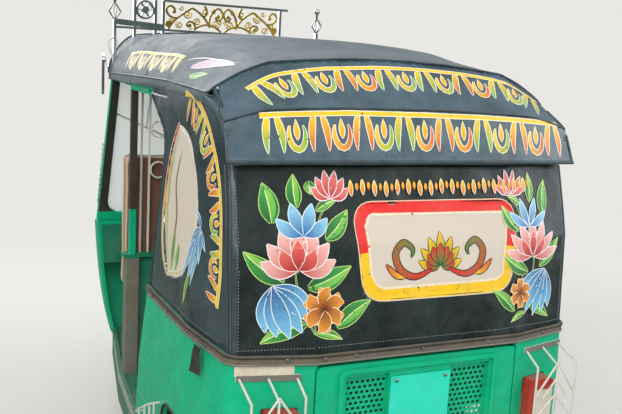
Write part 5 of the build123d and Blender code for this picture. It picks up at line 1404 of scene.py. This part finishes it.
@dataclass(frozen=True)
class Cushion:
    """A vinyl cushion swollen by a cloth simulation, with sewn channels and welts; sizes in millimetres."""

    name: str
    node: str
    facing: Place
    channels: tuple[float, ...]
    inset: float = 11.0
    cap: float = 13.0
    voxel: float = 9.0
    pressure: float = 4.0
    frames: int = 20
    creases: Point = (2.2, 0.7)
    channel_depth: float = 7.0
    channel_width: float = 9.0
    fill: float = 0.75
    welt: float = 5.0
    welt_inset: float = 18.0
    welt_shares: Point = (0.16, 0.84)
    beige_sides: bool = False
    side_depth: float = 30.0

    def swell(self, piece: Piece) -> None:
        """Remesh the block evenly and blow it up by cloth pressure.

        Args:
            piece: The block, whose mesh is exchanged.
        """
        remesh = piece.modifiers.new("even", "REMESH")
        remesh.mode = "VOXEL"
        remesh.voxel_size = self.voxel * MM
        self.apply(piece)
        before = [v.co.copy() for v in piece.data.vertices]
        cloth = piece.modifiers.new("swell", "CLOTH")
        cloth.settings.use_pressure = True
        cloth.settings.uniform_pressure_force = self.pressure
        cloth.settings.effector_weights.gravity = 0.0
        cloth.settings.quality = 4
        scene = bpy.context.scene
        for step in range(1, self.frames + 1):
            scene.frame_set(step)
        self.apply(piece)
        scene.frame_set(1)
        for vertex, start in zip(piece.data.vertices, before):
            move = vertex.co - start
            if move.length > self.cap * MM:
                vertex.co = start + move.normalized() * self.cap * MM

    def apply(self, piece: Piece) -> None:
        """Apply the piece's modifiers to its mesh."""
        graph = bpy.context.evaluated_depsgraph_get()
        data = bpy.data.meshes.new_from_object(piece.evaluated_get(graph))
        piece.modifiers.clear()
        piece.data = data

    def sew(self, piece: Piece) -> None:
        """Pull the sewn channels in and keep the pad inside its solid.

        Args:
            piece: The swollen pad.
        """
        low, high = (Vector(corner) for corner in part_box(self.node))
        facing = Vector(self.facing)
        broad, fine = self.creases
        shape = joined(piece.data)
        shape.normal_update()
        for vertex in shape.verts:
            turned = vertex.normal.dot(facing)
            for place in self.channels if turned > 0 else ():
                far = (vertex.co.x / MM - place) / self.channel_width
                vertex.co -= facing * turned * self.channel_depth * MM * math.exp(-far * far)
            crease = noise.noise(vertex.co * 9.0) * broad + noise.noise(vertex.co * 31.0) * fine
            vertex.co += vertex.normal * crease * MM
            for axis in range(3):
                vertex.co[axis] = min(max(vertex.co[axis], low[axis]), high[axis])
        shape.to_mesh(piece.data)
        shape.free()

    def build(self) -> None:
        """Make the pad and the welts round its front and back faces."""
        low, high = (Vector(corner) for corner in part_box(self.node))
        middle = (low + high) / 2
        shape = merged(self.node)
        for vertex in shape.verts:
            for axis in range(3):
                half = (high[axis] - low[axis]) / 2
                vertex.co[axis] = middle[axis] + (vertex.co[axis] - middle[axis]) * (half - self.inset * MM) / half
        piece = make_piece(self.name, shape, BROWN_VINYL, "brown_vinyl")
        self.swell(piece)
        self.sew(piece)
        BROWN_VINYL.dress(piece)
        if self.beige_sides:
            piece.data.materials.append(BEIGE_VINYL.build())
            edge = high.x - self.side_depth * MM
            for face in piece.data.polygons:
                face.material_index = int(abs(face.normal.x) > 0.6 and abs(face.center.x) > edge)
        piece.data.polygons.foreach_set("use_smooth", [True] * len(piece.data.polygons))
        finer = piece.modifiers.new("finer", "SUBSURF")
        finer.levels = finer.render_levels = 1
        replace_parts(piece, self.node)
        self.pipe(surface(joined(piece.data)), low, high)

    def pipe(self, onto: BVHTree, low: Vector, high: Vector) -> None:
        """Sew a pale welt round the two large faces.

        Args:
            onto: The pad's surface.
            low: Lowest corner of its solid.
            high: Highest corner of its solid.
        """
        depth = max(range(3), key=lambda axis: abs(self.facing[axis]))
        flat = [axis for axis in range(3) if axis != depth]
        edge = self.welt_inset * MM
        for share in self.welt_shares:
            ring = []
            for a, b in ((0, 0.5), (0, 0), (0.5, 0), (1, 0), (1, 0.5), (1, 1), (0.5, 1), (0, 1)):
                point = [0.0, 0.0, 0.0]
                point[depth] = low[depth] + (high[depth] - low[depth]) * share
                for axis, part in zip(flat, (a, b)):
                    point[axis] = low[axis] + edge * (1 - 2 * part) + (high[axis] - low[axis]) * part
                ring += [tuple(point)] * (2 if a in (0, 1) and b in (0, 1) else 1)
            name = f"{self.name}_welt_{round(100 * share)}"
            bead(name, ring, self.welt, PALE_WELT, onto=onto, lift=0.5, closed=True)


CUSHIONS = (
    Cushion("driver_seat_pad", "driver_cushion", (0, 0, 1), (-210.0, -70.0, 70.0, 210.0)),
    Cushion(
        "driver_back_pad", "driver_backrest", (0, -1, 0), (-440.0, -290.0, -145.0, 0.0, 145.0, 290.0, 440.0),
        voxel=11.0, beige_sides=True,
    ),
    Cushion(
        "passenger_seat_pad", "passenger_cushion", (0, 0, 1), (-400.0, -240.0, -80.0, 80.0, 240.0, 400.0), voxel=11.0
    ),
    Cushion(
        "passenger_back_pad", "passenger_backrest", (0, -1, 0), (-400.0, -240.0, -80.0, 80.0, 240.0, 400.0),
        voxel=11.0,
    ),
)


@dataclass(frozen=True)
class Tyre:
    """A ribbed diagonal tyre and its wheel's nuts and hub cap, made at the hub and moved into place."""

    prefix: str
    body: str
    centre: Place
    side: int
    steps: int = 96
    # distance from the middle plane and radius along one half of the section, from the bead to the tread's middle
    section: tuple[Point, ...] = (
        (38.0, 104.0), (42.5, 112.0), (44.0, 118.0), (47.0, 122.0), (51.0, 138.0), (52.5, 154.5), (51.5, 168.0),
        (50.0, 172.0), (50.0, 176.0), (48.6, 180.0), (47.0, 191.0), (43.0, 198.0), (37.0, 203.6), (29.0, 204.6),
        (27.0, 199.5), (23.0, 199.5), (21.0, 204.8), (12.0, 205.0), (10.0, 199.8), (6.0, 199.8), (4.0, 205.0),
    )
    # distances from the middle plane between which the lugs are cut, and their least radius
    lug_band: Place = (33.0, 46.0, 192.0)
    lug_gap: float = 1.4
    lug_depth: float = 4.0
    nut_circle: float = 48.0
    nut_foot: float = 26.0
    cap_foot: float = 34.0

    def build(self) -> None:
        """Build the tyre, then the nuts."""
        shape = bmesh.new()
        whole = [*self.section, *[(-x, r) for x, r in self.section[::-1]]]
        ring = [shape.verts.new((x * MM, 0, r * MM)) for x, r in whole]
        edges = [shape.edges.new(pair) for pair in zip(ring, [*ring[1:], ring[0]])]
        bmesh.ops.spin(
            shape, geom=[*ring, *edges], cent=(0, 0, 0), axis=(1, 0, 0), angle=2 * math.pi, steps=self.steps,
            use_merge=True,
        )
        bmesh.ops.remove_doubles(shape, verts=shape.verts, dist=0.05 * MM)
        bmesh.ops.recalc_face_normals(shape, faces=shape.faces)
        cuts = []
        inner, outer, least = self.lug_band
        for face in shape.faces:
            middle = face.calc_center_median()
            radius = math.hypot(middle.y, middle.z) / MM
            turn = math.atan2(middle.y, middle.z) / (2 * math.pi) * self.steps
            banded = inner < abs(middle.x / MM) < outer and radius > least
            shift = 0 if middle.x > 0 else 1
            if banded and int(turn + shift + self.steps) % 3 == 0:
                cuts.append(face)
        bmesh.ops.inset_region(
            shape, faces=cuts, thickness=self.lug_gap * MM, depth=-self.lug_depth * MM, use_even_offset=True
        )
        bmesh.ops.translate(shape, vec=Vector(self.centre), verts=shape.verts)
        piece = make_piece(f"{self.prefix}_ribbed_tyre", shape, TYRE_RUBBER, "tyre_rubber", self.body)
        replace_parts(piece, f"{self.prefix}_tyre")
        self.fasteners()

    def fasteners(self) -> None:
        """Put four nuts and a domed cap on the hub's outer side."""
        outwards = Vector((self.side, 0, 0))
        centre = Vector(self.centre)
        studs = []
        for k in range(4):
            angle = math.pi / 4 + k * math.pi / 2
            offset = Vector((0, math.cos(angle), math.sin(angle))) * self.nut_circle * MM
            studs.append((NUT, centre + offset + outwards * self.nut_foot * MM, outwards))
        studs.append((HUB_CAP, centre + outwards * self.cap_foot * MM, outwards))
        fasten(f"{self.prefix}_wheel_nuts", studs, "rim_paint", self.body)


@dataclass
class Tail:
    """Plates, rivets, strap and lamp seals on the tail; sizes in millimetres."""

    plate_half: float = 106.0
    plate_bottom: float = 628.0
    plate_top: float = 800.0
    plate_y: float = 1266.0
    bolts: tuple[Point, ...] = ((-86.0, 787.0), (86.0, 787.0))
    corner_x: float = 354.0
    corner_slope: float = 0.2355
    rivet_xs: tuple[float, ...] = (-480.0, -234.0, 4.0, 230.0, 330.0, 439.0)
    rivet_ys: tuple[float, ...] = (520.0, 700.0, 914.0, 1054.0)
    strap_top: float = 868.0
    strap_length: float = 82.0
    strap_rear: float = 1056.0

    def build(self) -> None:
        """Build every piece of the tail."""
        self.number_plate()
        self.label_plate()
        self.rivets()
        self.strap()
        for sign, side in SIDES:
            ring = [(0.405, 1.252, 0.735), (0.405, 1.252, 0.591), (0.505, 1.232, 0.591), (0.505, 1.232, 0.735)]
            doubled = [point for point in flip(ring, sign) for _ in (0, 1)]
            bead(f"lamp_seal_{side}", doubled, 3.0, MOULDED_RUBBER, "grip_rubber", closed=True)

    def turned(self, x: float) -> float:
        """Return how far forward the tail's slanted corners lie at an X, in millimetres."""
        return max(0.0, abs(x) - self.corner_x) * self.corner_slope

    def number_plate(self) -> None:
        """Bolt the bare number plate to the lid, with its pressed border."""
        half, y = self.plate_half, self.plate_y
        shape = box_shape((-half, y, self.plate_bottom), (half, y + 1.6, self.plate_top), 0.5)
        front = max(shape.faces, key=lambda f: f.calc_area() * max(f.normal.y, 0.0))
        bmesh.ops.inset_region(shape, faces=[front], thickness=5 * MM, depth=0.0)
        bmesh.ops.inset_region(shape, faces=[front], thickness=2 * MM, depth=-0.9 * MM)
        slice_up(shape, (20.0, 0.0, 20.0))
        for vertex in shape.verts:
            vertex.co.y += noise.noise(Vector((vertex.co.x * 9.0, 0, vertex.co.z * 9.0))) * 0.9 * MM
        make_piece("number_plate", shape, PLATE_PAINT, "green_paint", "lid", smooth=False)
        heads = [(PLATE_BOLT, Vector((x, y + 1.8, z)) * MM, Vector((0, 1, 0))) for x, z in self.bolts]
        fasten("plate_bolts", heads, "chrome", "lid")

    def label_plate(self) -> None:
        """Screw the blank label plate to the slanted left corner, over the lamp guard."""
        shape = box_shape((417.0, 0.0, 833.0), (583.0, 1.4, 868.0), 0.4)
        slice_up(shape, (15.0, 0.0, 0.0))
        for vertex in shape.verts:
            along = vertex.co.x / MM
            vertex.co.y += (1262.8 - self.turned(along)) * MM
            vertex.co.y += abs(noise.noise(Vector((along * 0.02, 0, vertex.co.z * 12.0)))) * 0.6 * MM
        make_piece("label_plate", shape, LABEL_PAINT, "white_rods", smooth=False)

    def rivets(self) -> None:
        """Rivet the belt trim down along the tail and both sides."""
        spots = [(Vector((x, 1267.8 - self.turned(x), 880.0)), Vector((0, 1, 0))) for x in self.rivet_xs]
        spots += [
            (Vector((sign * (630.8 - max(0.0, y - 900.0) * 0.095), y, 878.0)), Vector((sign, 0, 0)))
            for sign in (-1, 1) for y in self.rivet_ys
        ]
        fasten("belt_rivets", [(RIVET, spot * MM, way) for spot, way in spots], "trim_strip", smooth=True)

    def strap(self) -> None:
        """Hang a short dark strap from the belt on the left side."""
        top, rear = self.strap_top, self.strap_rear
        shape = box_shape((632.0, rear - 48.0, top - self.strap_length), (635.0, rear, top), 0.8)
        slice_up(shape, (0.0, 8.0, 14.0))
        for vertex in shape.verts:
            drop = (top - vertex.co.z / MM) / self.strap_length
            vertex.co.x += ((rear - vertex.co.y / MM) * 0.34 * drop + 2.0 * math.sin(drop * 6.0)) * MM
        make_piece("tie_strap", shape, MOULDED_RUBBER, "grip_rubber")


@dataclass
class Cab:
    """Wiper, pillar chains and the curled brackets by the crown; sizes in metres."""

    pillar_links: int = 24
    link_radius: float = 0.0055
    chain_foot: float = 0.975
    chain_length: float = 0.28
    # the pillar's edge at its foot, and how far it moves in X and Y for each metre up
    pillar: Place = (0.5515, -0.798, 0.888)
    pillar_lean: Point = (-0.0567, 0.1042)
    arm: tuple[Place, ...] = (
        (0.30, -0.752, 1.60), (0.302, -0.768, 1.52), (0.31, -0.782, 1.42), (0.318, -0.783, 1.336),
    )
    blade: tuple[Place, ...] = (
        (0.47, -0.772, 1.401), (0.37, -0.779, 1.358), (0.26, -0.784, 1.31), (0.16, -0.787, 1.266),
    )
    curl: tuple[Place, ...] = (
        (0.505, -0.662, 1.62), (0.512, -0.664, 1.67), (0.530, -0.665, 1.705), (0.533, -0.665, 1.735),
        (0.514, -0.665, 1.752), (0.494, -0.665, 1.744), (0.490, -0.665, 1.722), (0.503, -0.665, 1.714),
    )

    def build(self) -> None:
        """Hang the wiper, lay the chains down the pillars' outer edges and bend the white curled brackets."""
        bead("wiper_arm", list(self.arm), 3.2, MOULDED_RUBBER, "grip_rubber")
        bead("wiper_blade", list(self.blade), 4.2, MOULDED_RUBBER, "grip_rubber")
        for sign, side in SIDES:
            make_piece(f"pillar_chain_{side}", self.chain(sign), CHROME, "chrome")
        for sign, side in SIDES:
            bead(f"crown_curl_{side}", flip(self.curl, sign), 4.0, WHITE_ENAMEL, "white_rods")

    def chain(self, sign: int) -> Mesh:
        """Shape a chain of small plated links on the left pillar, or on the right one where sign is -1."""
        shape = bmesh.new()
        (x, y, foot), (aside, back) = self.pillar, self.pillar_lean
        for k in range(self.pillar_links):
            z = self.chain_foot + self.chain_length * k / (self.pillar_links - 1)
            place = (sign * (x + (z - foot) * aside), y + (z - foot) * back, z)
            ball = bmesh.ops.create_uvsphere(shape, u_segments=10, v_segments=6, radius=self.link_radius)["verts"]
            bmesh.ops.scale(shape, vec=(0.55, 1.0, 1.25 if k % 2 else 0.8), verts=ball)
            bmesh.ops.translate(shape, vec=place, verts=ball)
        return shape


@dataclass
class Seats:
    """The four cushions."""

    def build(self) -> None:
        """Build the cushions in turn."""
        for cushion in CUSHIONS:
            cushion.build()


@dataclass
class Wheels:
    """The three wheels' tyres and fasteners."""

    def build(self) -> None:
        """Build the tyres in turn."""
        Tyre("front", "front_wheel", (0.0, -1.07, 0.205), 1).build()
        for sign, side in SIDES:
            Tyre(f"rear_{side}", f"rear_wheel_{side}", (sign * 0.565, 0.93, 0.205), sign).build()


@dataclass(frozen=True)
class Facing:
    """A thin strip, sleeve or pad over part of a frame node, given for the left side in metres."""

    name: str
    node: str
    low: Place
    high: Place
    millimetres: float
    finish: Finish
    slot: str
    ways: tuple[Place, ...] = ()

    def build(self, sign: int, side: str) -> None:
        """Copy the node's faces between the two corners that look one of the ways, and thicken them outwards.

        Args:
            sign: 1 on the left, -1 on the right.
            side: Name of that side.
        """
        low, high = (tuple(pick(pair) for pair in zip(*flip((self.low, self.high), sign))) for pick in (min, max))
        ways = [Vector(way) for way in flip(self.ways, sign)]
        shape = merged(self.node)
        for axis in range(3):
            facing = Vector((axis == 0, axis == 1, axis == 2))
            cut(shape, facing * low[axis], facing)
            cut(shape, facing * high[axis], facing)
        shape.normal_update()
        outside = []
        for face in shape.faces:
            middle = face.calc_center_median()
            kept = all(low[axis] <= middle[axis] <= high[axis] for axis in range(3))
            if not kept or ways and not any(face.normal.dot(way) > 0.7 for way in ways):
                outside.append(face)
        bmesh.ops.delete(shape, geom=outside, context="FACES")
        slice_up(shape, (0.0, 0.0, 30.0))
        piece = make_piece(f"{self.name}_{side}", shape, self.finish, self.slot, smooth=False)
        thicken(piece, self.millimetres, offset=1.0)


MIRROR_TURN = math.radians(78.0)
FACINGS = (
    Facing(
        "pillar_wrap", "hood_frame", (0.50, -0.156, 1.06), (0.575, -0.118, 1.548), 1.2, PILLAR_WRAP, "grip_rubber"
    ),
    Facing(
        "post_strip", "partition_panel", (0.50, -0.2, 0.345), (0.575, -0.1, 0.852), 1.4, WORN_STRIP, "trim_strip",
        ((1, 0, 0), (0, 1, 0)),
    ),
    # Black rubber pad on the windscreen frame's rear faces, standing in as painted shade on the pillars seen from
    # behind
    Facing(
        "shade_screen_pad", "windscreen_frame", (0.42, -0.86, 0.93), (0.60, -0.68, 1.56), 2.0, MOULDED_RUBBER,
        "grip_rubber", ((0, 1, 0),),
    ),
    Facing(
        "guard_strip", "tail_guards", (0.39, 1.2, 0.8175), (0.59, 1.35, 0.8385), 0.8, WORN_STRIP, "trim_strip",
        ((0, 1, 0),),
    ),
    Facing(
        "sill_strip", "floor_pan", (0.50, -0.86, 0.308), (0.65, 0.58, 0.344), 1.5, SILL_STRIP, "trim_strip",
        ((1, 0, 0),),
    ),
    Facing(
        "mirror_glass", "mirrors", (0.49, -0.90, 1.48), (0.56, -0.74, 1.68), 0.5, MIRROR_GLASS, "chrome",
        ((-math.sin(MIRROR_TURN), math.cos(MIRROR_TURN), 0.0),),
    ),
)


def portion(
    name: str, node: str, cuts: tuple[tuple[Vector, Vector], ...], keep: Callable[[Vector], bool], finish: Finish
) -> None:
    """Take over part of a frame node's lamps as a piece with its own finish.

    Args:
        name: The piece's name.
        node: The node that it stands for, together with the node's other portions.
        cuts: A point on each plane between portions, in metres, and the plane's direction.
        keep: Says by a face's middle whether the face belongs to this portion.
        finish: Its finish.
    """
    shape = merged(node)
    for place, facing in cuts:
        cut(shape, place, facing)
    others = [face for face in shape.faces if not keep(face.calc_center_median())]
    bmesh.ops.delete(shape, geom=others, context="FACES")
    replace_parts(make_piece(name, shape, finish, "lens", smooth=False), node)


def stitches(name: str, points: list[Place], onto: BVHTree, long: float = 5.5, pitch: float = 9.5) -> None:
    """Sew a row of thread stitches along straight runs on a surface.

    Args:
        name: The piece's name.
        points: The runs' ends in metres.
        onto: The surface.
        long: Length of a stitch in millimetres.
        pitch: Distance from one stitch to the next in millimetres.
    """
    line = []
    for start, end in zip(map(Vector, points), map(Vector, points[1:])):
        count = max(1, round((end - start).length / (pitch * MM)))
        line += [start.lerp(end, k / count) for k in range(count)]
    line.append(Vector(points[-1]))
    shape = bmesh.new()
    for here, there in zip(line, line[1:]):
        along = (there - here).normalized()
        spot, normal, _, _ = onto.find_nearest((here + there) / 2)
        across = along.cross(normal).normalized()
        turn = Matrix((along, across, across.cross(along))).transposed()
        ball = bmesh.ops.create_uvsphere(shape, u_segments=6, v_segments=4, radius=1.0)["verts"]
        for vertex in ball:
            scaled = Vector((vertex.co.z * long / 2, vertex.co.x * 0.9, vertex.co.y * 0.7)) * MM
            vertex.co = spot + normal * 0.7 * MM + turn @ scaled
    make_piece(name, shape, THREAD, "hood_cloth")


@dataclass
class Trim:
    """Strips, sleeves, beads and lamps that dress the tub, in metres."""

    belt_lip: tuple[Place, ...] = (
        (0.0, 1.2735, 0.862), (0.354, 1.2735, 0.862), (0.598, 1.217, 0.861), (0.6075, 1.204, 0.861),
        (0.619, 1.10, 0.861), (0.633, 0.92, 0.861), (0.636, 0.70, 0.861), (0.636, 0.46, 0.861),
    )
    gasket_z: float = 0.8865
    glass_cut: float = 0.700
    glass_side: float = 0.432
    headlamp: Place = (0.0, -1.043, 0.715)
    rim_radius: float = 0.077
    arch_x: float = 0.642
    arch_ends: float = 1.785
    # Y and Z along the front half of the wheel arch, from its foot to its middle
    arch: tuple[Point, ...] = (
        (0.649, 0.306), (0.678, 0.494), (0.688, 0.526), (0.71, 0.552), (0.739, 0.569), (0.772, 0.575),
        (0.892, 0.575),
    )
    # X of the crown panel's middle and Y of its curls
    crown: Point = (-0.010, -0.667)
    # X, Z, radius, first angle, turns and the bead's radius in millimetres of each curl on one half of the crown
    curls: tuple[tuple[float, ...], ...] = (
        (0.034, 1.842, 0.021, 200, 1.5, 3.4), (0.092, 1.893, 0.019, 320, -1.4, 3.0),
        (0.128, 1.846, 0.018, 20, 1.4, 3.2), (0.176, 1.880, 0.022, 160, 1.5, 3.4),
        (0.214, 1.829, 0.018, 60, -1.5, 3.2), (0.246, 1.852, 0.015, 250, 1.3, 3.0),
        (0.050, 1.899, 0.013, 90, 1.2, 2.6), (0.204, 1.905, 0.012, 0, -1.2, 2.6),
        (0.160, 1.822, 0.012, 180, 1.2, 2.6), (0.010, 1.850, 0.010, 270, 1.2, 2.6),
    )

    def build(self) -> None:
        """Build every piece of trim."""
        self.lamps()
        for sign, side in SIDES:
            for facing in FACINGS:
                facing.build(sign, side)
        self.rubbers()
        self.scrolls()

    def lamps(self) -> None:
        """Split the lamps into red, clear and amber mouldings and set a plated rim round the headlamp's lens."""
        cuts = (
            (Vector((0, 0, self.glass_cut)), Vector((0, 0, 1))),
            (Vector((self.glass_side, 0, 0)), Vector((1, 0, 0))),
            (Vector((-self.glass_side, 0, 0)), Vector((1, 0, 0))),
        )

        def is_clear(place: Vector) -> bool:
            """Say whether a place is on the clear corner of a tail lamp."""
            return place.z < self.glass_cut and abs(place.x) > self.glass_side

        portion("stop_lenses", "tail_lamps", cuts, lambda place: not is_clear(place), RED_LENS)
        portion("reverse_lenses", "tail_lamps", cuts, is_clear, CLEAR_LENS)
        portion("headlamp_lens", "front_lenses", (), lambda place: abs(place.x) < 0.2, CLEAR_LENS)
        portion("indicator_lenses", "front_lenses", (), lambda place: abs(place.x) >= 0.2, AMBER_LENS)
        (x, y, z), radius = self.headlamp, self.rim_radius
        angles = [k * math.pi / 6 for k in range(12)]
        ring = [(x + radius * math.cos(a), y, z + radius * math.sin(a)) for a in angles]
        bead("headlamp_rim", ring, 5.0, CHROME, "chrome", closed=True)

    def rubbers(self) -> None:
        """Edge the wheel arches with rubber and run a pale lip under the belt and a gasket over it."""
        arch = [*self.arch, *[(self.arch_ends - y, z) for y, z in self.arch[-2::-1]]]
        for sign, side in SIDES:
            onto = surface(merged(f"quarter_panel_{side}"))
            line = [(sign * self.arch_x, y, z) for y, z in arch]
            bead(f"arch_rubber_{side}", line, 4.0, MOULDED_RUBBER, "grip_rubber", onto, 1.0)
        doubled = [point for point in (*flip(self.belt_lip[:0:-1], -1), *self.belt_lip) for _ in range(2)]
        onto = surface(merged("belt_strip"))
        bead("belt_lip", doubled, 3.2, WORN_STRIP, "trim_strip", onto, 1.0)
        gasket = [(x, y, self.gasket_z) for x, y, _ in doubled]
        bead("belt_gasket", gasket, 2.8, MOULDED_RUBBER, "grip_rubber", onto, 1.0)

    def scrolls(self) -> None:
        """Fill the crown's middle panel with cast curls on the frame's own scrolls."""
        middle, front = self.crown
        for sign, side in SIDES:
            for k, (x, z, radius, start, turns, thick) in enumerate(self.curls):
                curl = []
                for step in range(15):
                    share = step / 14
                    angle = math.radians(start + 360 * turns * share)
                    reach = radius * (1 - 0.78 * share)
                    curl.append((middle + sign * (x + reach * math.cos(angle)), front, z + reach * math.sin(angle)))
                bead(f"scroll_{side}_{k}", curl, thick, GILT, "gold_scrolls")


def main() -> None:
    """Build the studio, the finishes and every sub-assembly in turn."""
    logging.basicConfig(level=logging.INFO, format="%(message)s")
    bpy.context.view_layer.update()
    Studio().build()
    for finish, names in NODE_FINISHES.items():
        finish.dress(*[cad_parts[name] for name in names])
    log.info("dressed %d frame nodes", sum(len(names) for names in NODE_FINISHES.values()))
    for assembly in (Hood(), Seats(), Wheels(), Tail(), Cab(), Trim()):
        assembly.build()


if __name__ == "__main__":
    main()
